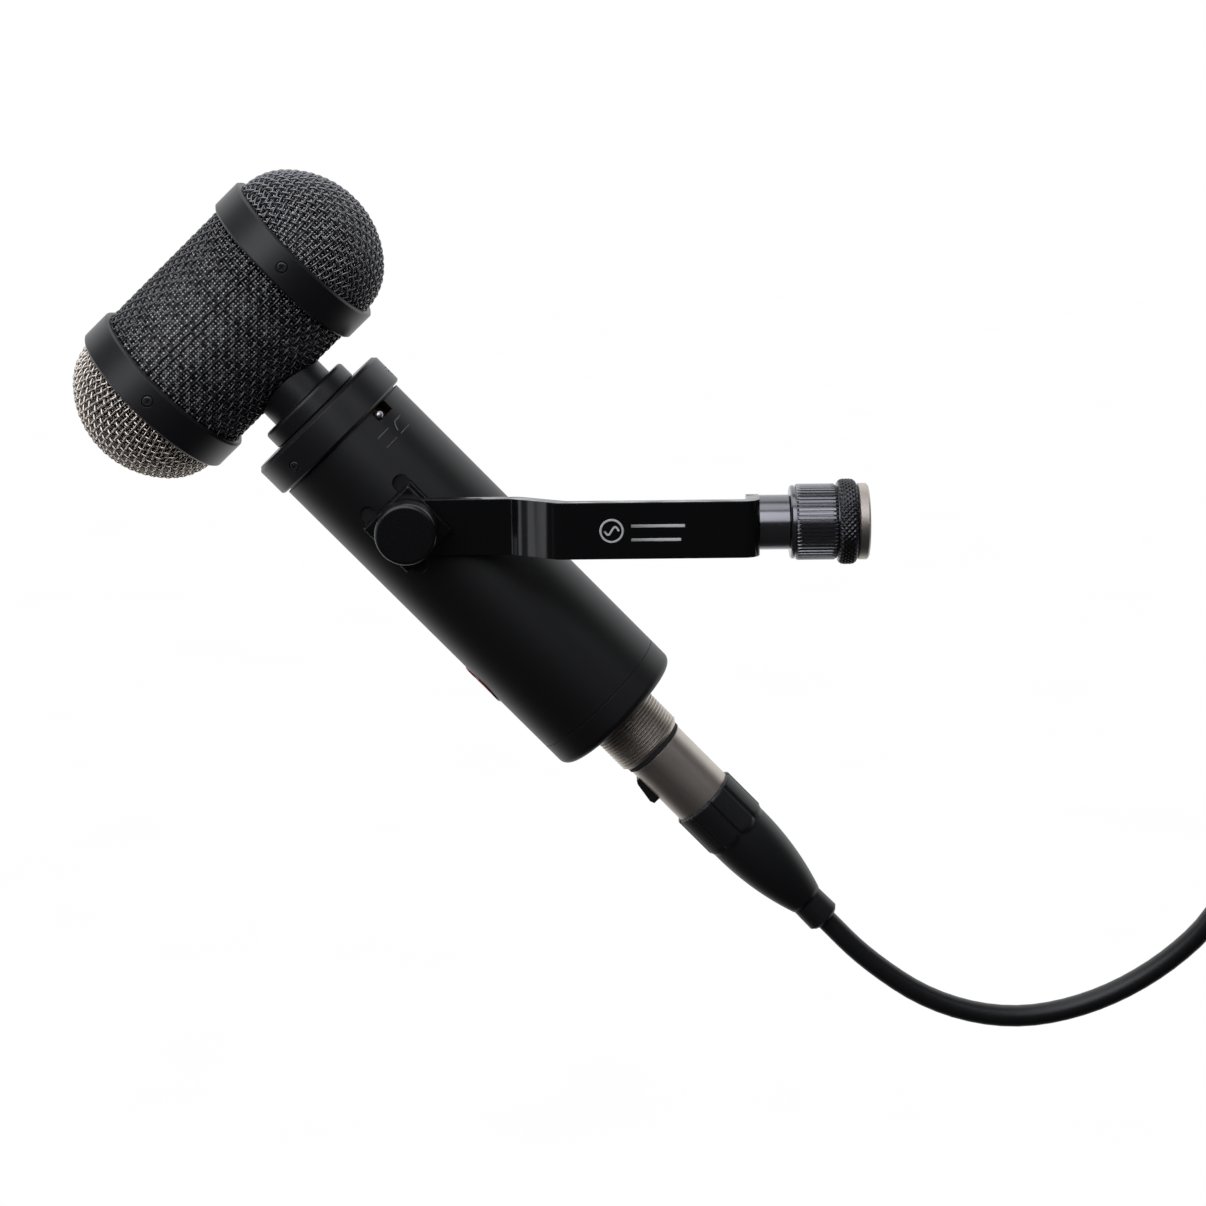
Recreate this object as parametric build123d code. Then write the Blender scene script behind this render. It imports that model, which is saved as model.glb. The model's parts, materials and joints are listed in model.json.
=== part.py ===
from build123d import *
import math
import os

# Side-address microphone on a cranked swivel arm, with its lead plugged in.
# Millimetres.  Origin: centre of the stand adapter's outer face, where a stand's stud enters
# along -X.  X runs along the arm, Z is up, and Y points away from the side that carries the knob.
#
# Two working frames are used.  The microphone is drawn upright about its own axis, with Z
# towards its head, X towards its rear dome, and the tilt axis at Z = 0; "on_mic" leans it into
# place.  Pieces of the pivot are drawn about the tilt axis with true Y heights.

# Driving dimensions of the stand side
PIVOT_X = -129.5          # tilt axis, measured from the adapter's face
MIC_Y = 24.0              # microphone's centre plane
LEAN = 43.7               # turn of the microphone from upright, towards -X
FIT = 0.03                # radial gap of a fixed fit
RUNNING = 0.05            # radial gap of a running fit

ARM_HEIGHT = 16.0
ARM_THICK = 3.5
ARM_NEAR_Y = -3.0         # near face of the stretch behind the knob
ARM_OFFSET = -8.0         # how far the crank brings the other stretch nearer
CRANK_FROM = 30.0         # crank's start and end, from the tilt axis
CRANK_TO = 43.5
FLANGE_OUT_X = -30.8      # outer face of the upturned flange
FLANGE_FAR_Y = 8.0

POST_RADIUS = 7.75
SLEEVE_RADIUS = 10.75
SLEEVE_FROM = -22.0
LOCK_FROM = -8.6
ADAPTER_FROM = -3.1
LOCK_RADIUS = 12.1
ADAPTER_RADIUS = 10.8
THREAD_RADIUS = 7.94      # adapter's outer thread, 5/8 inch
STUD_HOLE_RADIUS = 4.0    # adapter's inner thread, 3/8 inch, at its crests
STUD_HOLE_DEPTH = 14.0

# Pivot, as Y heights
BASE_NEAR_Y = 1.2         # near face of the block let into the body
POCKET_FLOOR_Y = 4.2
WASHER_THICK = 0.5
WASHER_GAP = 0.06
PLATE_SIDE = 17.7
PLATE_THICK = 2.0
KNOB_RADIUS = 8.7
KNOB_NEAR_Y = -14.0
KNOB_FAR_Y = -5.9
HUB_RADIUS = 5.0
TENON_SIDE = 6.6
STUD_RADIUS = 2.5

# Microphone, as heights above the tilt axis
HEAD_Z = 76.4
GRILLE_RADIUS = 25.3
GRILLE_THICK = 1.0
GRILLE_HALF = 23.4        # half the length of the woven side
RING_RADIUS = 26.8
RING_IN = 22.0            # the rings' inner and outer faces, from the head's middle
RING_OUT = 31.6
RING_SCREW_AT = 26.8
DOME_RADIUS = 24.9
DOME_TIP = 52.0
DOME_SKIRT = 29.5
SHOULDER_RADIUS = 17.0    # dome's edge rounding
NECK_RADIUS = 10.9
STEP_RADIUS = 15.0
STEP_TOP = 46.4
COLLAR_TOP = 40.8
COLLAR_RADIUS = 23.6
BODY_TOP = 30.0           # visible top of the tube, at the collar's lower edge
BODY_RADIUS = 22.0
BODY_BORE = 18.8
CAP_TOP = -75.9
CAP_END = -84.4
RECEPTACLE_RADIUS = 10.7
RECEPTACLE_END = -98.6
BARREL_RADIUS = 9.5
BARREL_TOP = -99.9
BOOT_TOP = -120.6
BUSHING_TOP = -165.0
BUSHING_END = -173.2
CABLE_RADIUS = 3.2
BADGE_Z = -50.5
BADGE_RADIUS = 7.3
SWITCH_TURN = 48.0        # from the knob side towards the rear dome
SWITCH_Z = 28.4

# The lead's way from the plug to its coil, chosen by hand, and the coil beyond it
LEAD_ROUTE = [
    (-9.6, 24.0, -125.5),
    (2.4, 24.0, -138.1),
    (22.5, 24.2, -152.3),
    (46.5, 24.5, -158.2),
    (70.5, 24.3, -153.6),
    (92.0, 22.6, -141.0),
    (108.5, 18.6, -122.0),
    (115.2, 13.2, -92.0),
    (116.1, 9.8, -62.0),
]
TAIL_ROUTE = [
    (203.9, -9.8, -62.0),
    (204.1, -10.2, -77.0),
    (212.0, -11.4, -97.0),
    (212.0, -11.4, -114.0),
]
COIL_X = 160.0
COIL_Z = -62.0
COIL_OUTER = 47.3
COIL_INNER = 27.7
COIL_HALF_DEPTH = 13.0
STRAP_HALF_WIDTH = 8.0
STRAP_THICK = 1.4
STRAP_LOOP_RADIUS = 9.6   # room for the stand's boom
FAR_PLUG_X = 212.0
FAR_PLUG_Y = -11.4
FAR_PLUG_TOP = -114.05


# ---------------------------------------------------------------- helpers

def rod(radius, low, high, x=0.0, y=0.0):
    """A cylinder along Z between two heights."""
    return Pos(x, y, (low + high) / 2) * Cylinder(radius, high - low)


def pipe(outer, inner, low, high):
    """A hollow cylinder along Z."""
    return rod(outer, low, high) - rod(inner, low - 1, high + 1)


def brick(x0, x1, y0, y1, z0, z1):
    """A block given by its limits."""
    middle = Pos((x0 + x1) / 2, (y0 + y1) / 2, (z0 + z1) / 2)
    return middle * Box(x1 - x0, y1 - y0, z1 - z0)


def turned(outline):
    """A body of revolution about Z from its (radius, height) outline."""
    edge = Plane.XZ * Polyline(*outline, close=True)
    return revolve(make_face(edge), Axis.Z)


def on_mic(shape):
    """Lean a piece drawn about the microphone's axis into place."""
    return Pos(PIVOT_X, 0, 0) * Rot(0, -LEAN, 0) * Pos(0, MIC_Y, 0) * shape


def on_pivot(shape):
    """Place a piece drawn about the tilt axis with true Y heights."""
    return Pos(PIVOT_X, 0, 0) * Rot(0, -LEAN, 0) * shape


def head_axis(shape):
    """Turn a piece drawn about Z so that it lies along the head, rear end up."""
    return Pos(0, 0, HEAD_Z) * Rot(0, 90, 0) * shape


def along_y(shape, near, x=0.0, z=0.0):
    """Turn a piece drawn from Z = 0 upwards so that it runs from a near Y height away."""
    return Pos(x, near, z) * Rot(-90, 0, 0) * shape


def along_x(shape):
    """Turn a piece drawn about Z so that it runs along X."""
    return Rot(0, 90, 0) * shape


def cross_recess(size, depth, top):
    """The cutter for a cross recess sunk from a height."""
    blade = brick(-size / 2, size / 2, -size / 9, size / 9, top - depth, top + 1)
    return blade + Rot(0, 0, 90) * blade


def small_screw(head_radius, head_height, shank_radius, length):
    """A domed cross-recess screw along Z: its head's top at 0, its shank going down."""
    head = rod(head_radius, -head_height, 0)
    head = fillet(head.edges().group_by(Axis.Z)[-1], head_height * 0.55)
    body = head + rod(shank_radius, -length, -head_height)
    return body - cross_recess(head_radius * 1.1, head_height * 0.6, 0)


def radial(shape, angle, radius, z):
    """Stand a piece drawn along +Z on a cylinder about Z, pointing outwards."""
    return Pos(0, 0, z) * Rot(0, 0, angle) * Pos(radius, 0, 0) * Rot(0, 90, 0) * shape


def grooved(radius, low, high, pitch, depth):
    """A threaded rod's outline points, from its low end to its high end."""
    points = []
    count = int((high - low) / pitch)
    for index in range(count):
        start = low + index * pitch
        points.append((radius - depth, start))
        points.append((radius, start + pitch * 0.35))
        points.append((radius, start + pitch * 0.65))
    points.append((radius - depth, low + count * pitch))
    return points


PARTS = {}


def keep(name, shape):
    PARTS[name] = shape


# ---------------------------------------------------------------- head

RING_SCREW_ANGLES = [0, 90, 180, 270]
RING_SCREW_HEAD = 1.6
RING_SCREW_LENGTH = 4.2
FRAME_RADIUS = 23.9       # head frame's hoops, inside the rings
FRAME_BORE = 21.6
PAD_TOP = -20.2           # top of the frame's foot, below the head's middle
NECK_BORE = 4.0
SPIGOT_RADIUS = 7.0       # frame's spigot in the neck
SPIGOT_END = 44.5


def make_side_grille():
    wall = pipe(GRILLE_RADIUS, GRILLE_RADIUS - GRILLE_THICK, -GRILLE_HALF, GRILLE_HALF)
    opening = rod(SPIGOT_RADIUS + 0.2, 40, HEAD_Z)
    return head_axis(wall) - opening


def dome_solid(radius, height, base):
    """A flattened dome on a skirt: a shoulder arc that runs into a wider crown arc."""
    offset = radius - SHOULDER_RADIUS
    crown = (offset ** 2 + height ** 2 - SHOULDER_RADIUS ** 2) / (2 * (height - SHOULDER_RADIUS))
    drop = crown - height
    angle = math.degrees(math.atan2(drop, offset))
    shoulder = CenterArc((offset, RING_OUT), SHOULDER_RADIUS, 0, angle)
    top = CenterArc((0, RING_OUT - drop), crown, angle, 90 - angle)
    outline = Polyline((radius, RING_OUT), (radius, base), (0, base), (0, RING_OUT + height))
    return revolve(make_face(Plane.XZ * (outline + shoulder + top)), Axis.Z)


def make_dome(sign):
    """An end grille: a flattened dome on a short skirt that slips into its ring."""
    height = DOME_TIP - RING_OUT
    shell = dome_solid(DOME_RADIUS, height, DOME_SKIRT)
    shell -= dome_solid(DOME_RADIUS - GRILLE_THICK, height - GRILLE_THICK, DOME_SKIRT - 1)
    if sign < 0:
        shell = Rot(0, 180, 0) * shell
    return head_axis(shell)


def make_ring(sign):
    """A ring with an inner rib between the side grille's seat and the dome's seat."""
    chamfer_size = 0.6
    outline = [
        (GRILLE_RADIUS + FIT, RING_IN),
        (RING_RADIUS - chamfer_size, RING_IN),
        (RING_RADIUS, RING_IN + chamfer_size),
        (RING_RADIUS, RING_OUT - chamfer_size),
        (RING_RADIUS - chamfer_size, RING_OUT),
        (DOME_RADIUS + FIT, RING_OUT),
        (DOME_RADIUS + FIT, DOME_SKIRT - FIT),
        (FRAME_RADIUS + FIT, DOME_SKIRT - FIT),
        (FRAME_RADIUS + FIT, GRILLE_HALF + FIT),
        (GRILLE_RADIUS + FIT, GRILLE_HALF + FIT),
    ]
    ring = turned(outline)
    for angle in RING_SCREW_ANGLES:
        hole = rod(0.85, -6, 1) + rod(RING_SCREW_HEAD + 0.1, -1.05, 1)
        ring -= radial(hole, angle, RING_RADIUS, RING_SCREW_AT)
    if sign < 0:
        ring = Rot(0, 180, 0) * ring
    return head_axis(ring)


def make_ring_screws():
    screws = []
    for sign in (-1, 1):
        for angle in RING_SCREW_ANGLES:
            screw = small_screw(RING_SCREW_HEAD, 1.0, 0.8, RING_SCREW_LENGTH)
            placed = radial(screw, angle, RING_RADIUS, sign * RING_SCREW_AT)
            screws.append(head_axis(placed))
    return Compound(screws)


def make_head_frame():
    """Two hoops joined by bars, with a foot and a hollow spigot that enters the neck."""
    hoop_in = 24.8
    hoop_out = 28.8
    foot = brick(-26, 26, -9, 9, HEAD_Z - 30, HEAD_Z + PAD_TOP)
    window = brick(-hoop_in, hoop_in, -30, 30, HEAD_Z - 30, HEAD_Z + 30) - foot
    for angle in (62, -62):
        window -= Pos(0, 0, HEAD_Z) * Rot(angle, 0, 0) * brick(-26, 26, -1.6, 1.6, 15, 30)
    frame = head_axis(rod(FRAME_RADIUS, -hoop_out, hoop_out))
    frame -= head_axis(rod(FRAME_BORE, -30, 30)) - foot
    frame -= window
    frame += rod(SPIGOT_RADIUS, SPIGOT_END, HEAD_Z + PAD_TOP - 1)
    frame -= rod(NECK_BORE, SPIGOT_END - 1, HEAD_Z)
    for sign in (-1, 1):
        for angle in RING_SCREW_ANGLES:
            hole = radial(rod(0.83, -6, 1), angle, RING_RADIUS, sign * RING_SCREW_AT)
            frame -= head_axis(hole)
    return frame


# Ribbon motor, drawn about the head's middle: the ribbon lies across the head's axis.
MOTOR_HALF_Y = 11.0
MOTOR_HALF_Z = 18.0
MOTOR_HALF_X = 4.0
YOKE_WALL = 2.3
MAGNET_HALF_Z = 11.5
GAP_HALF = 2.3            # half the gap between the pole pieces
RIBBON_HALF_WIDTH = 2.0
RIBBON_THICK = 0.1
RIBBON_WAVE = 0.3
FOLD_COUNT = 20


def in_head(shape):
    return Pos(0, 0, HEAD_Z) * shape


def make_motor_yoke():
    outer = brick(-MOTOR_HALF_X, MOTOR_HALF_X, -MOTOR_HALF_Y, MOTOR_HALF_Y,
                  -MOTOR_HALF_Z, MOTOR_HALF_Z)
    outer = fillet(outer.edges().filter_by(Axis.X), 2.0)
    window = brick(-9, 9, -MOTOR_HALF_Y + YOKE_WALL, MOTOR_HALF_Y - YOKE_WALL,
                   -MOTOR_HALF_Z + YOKE_WALL, MOTOR_HALF_Z - YOKE_WALL)
    return in_head(outer - window)


def make_magnets():
    bars = []
    for sign in (-1, 1):
        near, far = sorted((sign * 4.4, sign * (MOTOR_HALF_Y - YOKE_WALL)))
        bars.append(brick(-3.5, 3.5, near, far, -MAGNET_HALF_Z, MAGNET_HALF_Z))
    return in_head(Compound(bars))


def make_pole_pieces():
    """Soft-iron wedges that narrow towards the ribbon."""
    pieces = []
    for sign in (-1, 1):
        outline = [(-3.2, sign * 4.38), (3.2, sign * 4.38), (1.0, sign * GAP_HALF), (-1.0, sign * GAP_HALF)]
        face = make_face(Plane.XY * Polyline(*outline, close=True))
        pieces.append(Pos(0, 0, -MAGNET_HALF_Z) * extrude(face, 2 * MAGNET_HALF_Z, dir=(0, 0, 1)))
    return in_head(Compound(pieces))


def make_ribbon():
    """Thin corrugated foil with a flat tab at each end."""
    reach = 15.0
    folded = 11.6
    pitch = 2 * folded / FOLD_COUNT
    middle = [(0.0, -reach)]
    for index in range(FOLD_COUNT + 1):
        side = RIBBON_WAVE * (1 if index % 2 else -1)
        if index in (0, FOLD_COUNT):
            side = 0.0
        middle.append((side, -folded + index * pitch))
    middle.append((0.0, reach))
    half = RIBBON_THICK / 2
    outline = [(x - half, z) for x, z in middle] + [(x + half, z) for x, z in reversed(middle)]
    face = make_face(Plane.XZ * Polyline(*outline, close=True))
    foil = extrude(face, RIBBON_HALF_WIDTH, both=True)
    return in_head(foil)


def end_pair(shape):
    """The piece and its mirror image at the ribbon's other end."""
    return in_head(Compound([shape, mirror(shape, Plane.XY)]))


CLAMP_SCREW_Y = 2.85


def make_clamp_blocks():
    block = brick(-MOTOR_HALF_X, -RIBBON_THICK / 2, -4.2, 4.2, 12.1, MOTOR_HALF_Z - YOKE_WALL)
    for side in (-1, 1):
        block -= Pos(0, side * CLAMP_SCREW_Y, 13.8) * along_x(Cylinder(0.52, 30))
    return end_pair(block)


def make_ribbon_clamps():
    bar = brick(RIBBON_THICK / 2, 1.6, -3.9, 3.9, 12.4, 15.2)
    for side in (-1, 1):
        bar -= Pos(0, side * CLAMP_SCREW_Y, 13.8) * along_x(Cylinder(0.52, 30))
    return end_pair(bar)


def make_clamp_screws():
    screws = []
    for side in (-1, 1):
        screw = small_screw(0.95, 0.7, 0.5, 4.6)
        placed = Pos(2.3, side * CLAMP_SCREW_Y, 13.8) * Rot(0, 90, 0) * screw
        screws.append(placed)
        screws.append(mirror(placed, Plane.XY))
    return in_head(Compound(screws))


def make_motor_mounts():
    """Rubber pads that carry the motor on the head frame's foot."""
    low = HEAD_Z + PAD_TOP
    high = HEAD_Z - MOTOR_HALF_Z
    return Compound([rod(1.9, low, high, y=side * 6.6) for side in (-1, 1)])


# ---------------------------------------------------------------- neck, collar and body

COLLAR_SCREW_ANGLES = [-120, 120, 0]
COLLAR_SCREW_Z = 34.6
TUBE_TOP = 35.6           # the tube goes on inside the collar
TUBE_RADIUS_IN_COLLAR = 21.0
COLLAR_SPIGOT = 9.0
COLLAR_GAP = 0.7          # open groove between the collar and the tube's shoulder
STEP_ROUND = 1.2


def make_neck():
    top = HEAD_Z - 22.0
    outline = [
        (NECK_BORE, 30.5), (COLLAR_SPIGOT, 30.5), (COLLAR_SPIGOT, COLLAR_TOP),
        (STEP_RADIUS - 0.5, COLLAR_TOP), (STEP_RADIUS, COLLAR_TOP + 0.5),
        (STEP_RADIUS, STEP_TOP), (NECK_RADIUS, STEP_TOP), (NECK_RADIUS, top), (NECK_BORE, top),
    ]
    neck = turned(outline)
    rims = neck.edges().filter_by(GeomType.CIRCLE)
    neck = fillet([rim for rim in rims if rim.radius > STEP_RADIUS - 0.1 and rim.center().Z > STEP_TOP - 0.1],
                  STEP_ROUND)
    neck -= rod(SPIGOT_RADIUS + FIT, SPIGOT_END, HEAD_Z)
    return neck - head_axis(rod(GRILLE_RADIUS + FIT, -30, 30))


def make_collar():
    bevel = 1.1
    outline = [
        (COLLAR_SPIGOT + FIT, TUBE_TOP), (TUBE_RADIUS_IN_COLLAR + FIT, TUBE_TOP),
        (TUBE_RADIUS_IN_COLLAR + FIT, BODY_TOP + COLLAR_GAP),
        (COLLAR_RADIUS - 0.5, BODY_TOP + COLLAR_GAP), (COLLAR_RADIUS, BODY_TOP + COLLAR_GAP + 0.5),
        (COLLAR_RADIUS, COLLAR_TOP - bevel), (COLLAR_RADIUS - bevel, COLLAR_TOP),
        (COLLAR_SPIGOT + FIT, COLLAR_TOP),
    ]
    collar = turned(outline)
    for angle in COLLAR_SCREW_ANGLES:
        hole = rod(0.85, -9, 1) + rod(1.6, -1.0, 1)
        collar -= radial(hole, angle, COLLAR_RADIUS, COLLAR_SCREW_Z)
    return collar


def make_collar_screws():
    screw = small_screw(1.5, 0.95, 0.8, 5.5)
    return Compound([radial(screw, angle, COLLAR_RADIUS, COLLAR_SCREW_Z)
                     for angle in COLLAR_SCREW_ANGLES])


# The pocket in the body: a milled flat with a relief run-out at each corner.
POCKET_SIDE = 17.8
RELIEF_RADIUS = 2.3
RELIEF_X = 6.5
RELIEF_Z = 10.3
PIVOT_SCREW_AT = 6.0
PIVOT_SCREW_RADIUS = 1.1


def pivot_screw_places():
    return [(x, z) for x in (-PIVOT_SCREW_AT, PIVOT_SCREW_AT)
            for z in (-PIVOT_SCREW_AT, PIVOT_SCREW_AT)]


def make_pocket():
    """The pocket's cutter, in the microphone's frame."""
    floor = POCKET_FLOOR_Y - MIC_Y
    half = POCKET_SIDE / 2
    cutter = brick(-half, half, -30, floor, -half, half)
    for x in (-RELIEF_X, RELIEF_X):
        cutter += brick(x - RELIEF_RADIUS, x + RELIEF_RADIUS, -30, floor, -RELIEF_Z, RELIEF_Z)
        for z in (-RELIEF_Z, RELIEF_Z):
            cutter += along_y(rod(RELIEF_RADIUS, 0, floor + 30), -30, x, z)
    return cutter


SLOT_HALF_LENGTH = 3.3
SLOT_LOW = 26.6


def switch_place(shape):
    """Place a piece drawn with X outwards and Y round the tube at the filter switch."""
    return Rot(0, 0, SWITCH_TURN - 90) * shape


def badge_disc(radius, depth):
    return Pos(0, 0, BADGE_Z) * Rot(0, -90, 0) * rod(radius, BODY_RADIUS - 6, BODY_RADIUS + depth)


def make_body_tube():
    tube = pipe(BODY_RADIUS, BODY_BORE, CAP_TOP, BODY_TOP)
    tube += pipe(TUBE_RADIUS_IN_COLLAR, BODY_BORE, BODY_TOP - 1, TUBE_TOP)
    tube -= make_pocket()
    slot = brick(15, 30, -SLOT_HALF_LENGTH, SLOT_HALF_LENGTH, SLOT_LOW, BODY_TOP + 0.2)
    tube -= switch_place(slot)
    tube -= badge_disc(BADGE_RADIUS + 0.1, 5) - rod(BODY_RADIUS - 0.6, -90, 0)
    for x, z in pivot_screw_places():
        tube -= along_y(rod(PIVOT_SCREW_RADIUS + FIT, 0, 12), -24, x, z)
    for angle in COLLAR_SCREW_ANGLES:
        tube -= radial(rod(0.83, -9, 1), angle, COLLAR_RADIUS, COLLAR_SCREW_Z)
    return tube


def make_badge():
    disc = badge_disc(BADGE_RADIUS, 5)
    return disc & pipe(BODY_RADIUS + 0.45, BODY_RADIUS - 0.6, BADGE_Z - 20, BADGE_Z + 20)


def make_bottom_cap():
    outline = [
        (9.9 + FIT, CAP_END), (BODY_RADIUS, CAP_END), (BODY_RADIUS, CAP_TOP - 0.15),
        (BODY_BORE - FIT, CAP_TOP - 0.15), (BODY_BORE - FIT, -70), (16.2, -70),
        (16.2, -79.5), (9.9 + FIT, -79.5),
    ]
    cap = turned(outline)
    rim = cap.edges().filter_by(GeomType.CIRCLE)
    rim = [edge for edge in rim if abs(edge.radius - BODY_RADIUS) < 0.01
           and edge.center().Z < CAP_END + 0.1]
    return fillet(rim, 2.4)


# Electronics inside the tube
RAIL_X = 13.4
RAIL_THICK = 1.6
BOARD_HALF = 13.3
TRANSFORMER_LOW = -62.0


def make_chassis():
    """Two rails from the cap to the collar, joined by a strap under the transformer."""
    rail = brick(RAIL_X, RAIL_X + RAIL_THICK, -3, 3, -69.8, 30.2)
    strap = brick(-RAIL_X - 0.5, RAIL_X + 0.5, -3, 3, -63.4, TRANSFORMER_LOW)
    return rail + mirror(rail, Plane.YZ) + strap


def make_circuit_board():
    """The board between the rails, with two film capacitors and an inductor on its far face."""
    board = brick(-BOARD_HALF, BOARD_HALF, -0.8, 0.8, -24, 25)
    first = brick(-9, -2, 0.8, 6.3, 4, 14)
    second = brick(2, 9, 0.8, 6.3, 4, 14)
    inductor = along_y(pipe(6.0, 2.2, 0, 5.5), 0.8, 0, -9)
    return Compound([board, first, second, inductor])


def make_transformer_core():
    """A laminated core with a window each side of its middle limb."""
    high = TRANSFORMER_LOW + 20
    core = brick(-9, 9, -7.5, 7.5, TRANSFORMER_LOW, high)
    for side in (-1, 1):
        core -= Pos(side * 4.25, 0, (TRANSFORMER_LOW + high) / 2) * Box(2.5, 40, 13)
    return core


def make_transformer_winding():
    middle = TRANSFORMER_LOW + 10
    coil = brick(-5.45, 5.45, -10.0, 10.0, middle - 6.4, middle + 6.4)
    coil = fillet(coil.edges().filter_by(Axis.Z), 2.2)
    return coil - brick(-3.02, 3.02, -7.55, 7.55, -70, -30)


def make_switch_body():
    """The filter switch's case, just inside the tube behind its slot."""
    low = SWITCH_Z - 2.6
    case = brick(13.2, 17.3, -5.2, 5.2, low, SWITCH_Z + 1.7)
    slot = brick(14.4, 20, -3.6, 3.6, low + 1.1, SWITCH_Z + 0.8)
    return switch_place(case - slot)


LEVER_HALF_TRAVEL = 1.5
LEVER_BALL = 1.3          # radius of the ball on the lever's stem


def make_switch_lever():
    """The lever's slider, and its stem with the ball that stands in the slot."""
    rest = -LEVER_HALF_TRAVEL
    slider = brick(14.5, 16.9, rest - 1.9, rest + 1.9, SWITCH_Z - 1.3, SWITCH_Z + 0.6)
    stem_z = SWITCH_Z - 0.35
    stem = along_x(rod(0.85, 16.8, 21.2, -stem_z, rest))
    ball = Pos(21.4, rest, stem_z) * Sphere(LEVER_BALL)
    return switch_place(slider + stem + ball)


# ---------------------------------------------------------------- output socket and plug

PIN_CIRCLE = 4.2
PIN_RADIUS = 1.2
PIN_ANGLES = [30, 150, 270]
SOCKET_BORE = 8.05
SOCKET_TOP = -74.5


def make_socket_shell():
    """The threaded tube that leaves the cap: fine rings outside, stepped bore inside."""
    thread_top = CAP_END - 0.6
    outer = grooved(RECEPTACLE_RADIUS, RECEPTACLE_END + 0.6, thread_top, 1.05, 0.5)
    outline = [(SOCKET_BORE, RECEPTACLE_END), (RECEPTACLE_RADIUS - 0.7, RECEPTACLE_END)]
    outline += outer
    outline += [
        (RECEPTACLE_RADIUS, CAP_END), (9.9, CAP_END), (9.9, SOCKET_TOP),
        (SOCKET_BORE - 1.2, SOCKET_TOP), (SOCKET_BORE - 1.2, -81), (SOCKET_BORE, -81),
    ]
    return turned(outline)


def make_socket_nut():
    nut = extrude(RegularPolygon(13.0, 6), 3.4)
    return Pos(0, 0, -79.5) * nut - rod(9.9 + FIT, -90, -70)


def make_socket_insert():
    disc = rod(SOCKET_BORE - FIT, -85.6, -81.02)
    for angle in PIN_ANGLES:
        x = PIN_CIRCLE * math.cos(math.radians(angle))
        y = PIN_CIRCLE * math.sin(math.radians(angle))
        disc -= rod(PIN_RADIUS + FIT, -90, -70, x, y)
    return disc


def make_socket_pins():
    pins = []
    for angle in PIN_ANGLES:
        x = PIN_CIRCLE * math.cos(math.radians(angle))
        y = PIN_CIRCLE * math.sin(math.radians(angle))
        pin = rod(PIN_RADIUS, -96.5, -77.5, x, y)
        pins.append(fillet(pin.edges().group_by(Axis.Z)[0], 0.8))
    return Compound(pins)


LATCH_TOP = -103.0
LATCH_END = -111.6
LATCH_HALF_WIDTH = 2.3


def make_plug_shell():
    """The line socket's metal barrel with its nose in the microphone's socket."""
    outline = [
        (6.95, -86.2), (SOCKET_BORE - 0.1, -86.2), (SOCKET_BORE - 0.1, BARREL_TOP),
        (BARREL_RADIUS - 0.4, BARREL_TOP), (BARREL_RADIUS, BARREL_TOP - 0.4),
        (BARREL_RADIUS, BOOT_TOP), (8.3, BOOT_TOP), (8.3, -127), (7.4, -127), (7.4, -106), (6.95, -106),
    ]
    barrel = turned(outline)
    window = brick(-12, -5, -LATCH_HALF_WIDTH - 0.3, LATCH_HALF_WIDTH + 0.3,
                   LATCH_END - 0.3, LATCH_TOP + 0.3)
    return barrel - window


def make_plug_gasket():
    return pipe(BARREL_RADIUS + 0.3, SOCKET_BORE, BARREL_TOP + 0.02, RECEPTACLE_END - 0.02)


def make_plug_insert():
    """The line socket's contact block with its three sleeves."""
    block = rod(6.9, -104.5, -86.3)
    for angle in PIN_ANGLES:
        x = PIN_CIRCLE * math.cos(math.radians(angle))
        y = PIN_CIRCLE * math.sin(math.radians(angle))
        block -= rod(PIN_RADIUS + 0.1, -98, -80, x, y)
    return block


def make_latch_tab():
    """The sprung release tab in the barrel's window."""
    side = [
        (-7.9, LATCH_TOP),
        (-10.2, LATCH_TOP),
        (-10.8, LATCH_TOP - 1.0),
        (-11.8, LATCH_END + 1.3),
        (-11.3, LATCH_END),
        (-7.9, LATCH_END),
    ]
    face = make_face(Plane.XZ * Polyline(*side, close=True))
    tab = extrude(face, LATCH_HALF_WIDTH, both=True)
    return fillet(tab.edges().filter_by(Axis.Y).group_by(Axis.X)[0], 0.4)


def make_plug_boot():
    """The boot: a ribbed grip that narrows in a long curve to the bushing."""
    bore = CABLE_RADIUS + 0.15
    arc_start = (9.45, -148.5)
    arc_end = (5.4, BUSHING_TOP)
    curve = ThreePointArc((10.0, -136.4), (9.95, -142.5), arc_start)
    taper = ThreePointArc(arc_start, (7.75, -156.9), arc_end)
    outline = [
        arc_end, (bore, BUSHING_TOP), (bore, -141), (7.35, -138), (7.35, -127.1),
        (8.35, -127.1), (8.35, BOOT_TOP), (9.9, BOOT_TOP), (10.4, BOOT_TOP - 0.5),
        (10.4, -135.6), (10.0, -136.4),
    ]
    return revolve(make_face(Plane.XZ * (Polyline(*outline) + curve + taper)), Axis.Z)


def make_plug_chuck():
    """The split collet that grips the lead inside the boot."""
    chuck = turned([(CABLE_RADIUS + 0.02, -112.5), (6.4, -112.5), (7.25, -116), (7.25, -133),
                    (4.6, -137.8), (CABLE_RADIUS + 0.02, -137.8)])
    return chuck - brick(0, 10, -0.6, 0.6, -140, -126)


def make_plug_bushing():
    bore = CABLE_RADIUS + 0.02
    return turned([(bore, BUSHING_END), (4.5, BUSHING_END), (5.25, BUSHING_END + 0.8),
                   (5.1, BUSHING_TOP - FIT), (bore, BUSHING_TOP - FIT)])


# ---------------------------------------------------------------- pivot

REAR_WASHER_NEAR = ARM_NEAR_Y + ARM_THICK + WASHER_GAP
FRONT_WASHER_FAR = ARM_NEAR_Y - WASHER_GAP
PLATE_FAR_Y = FRONT_WASHER_FAR - WASHER_THICK
PLATE_NEAR_Y = PLATE_FAR_Y - PLATE_THICK


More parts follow.
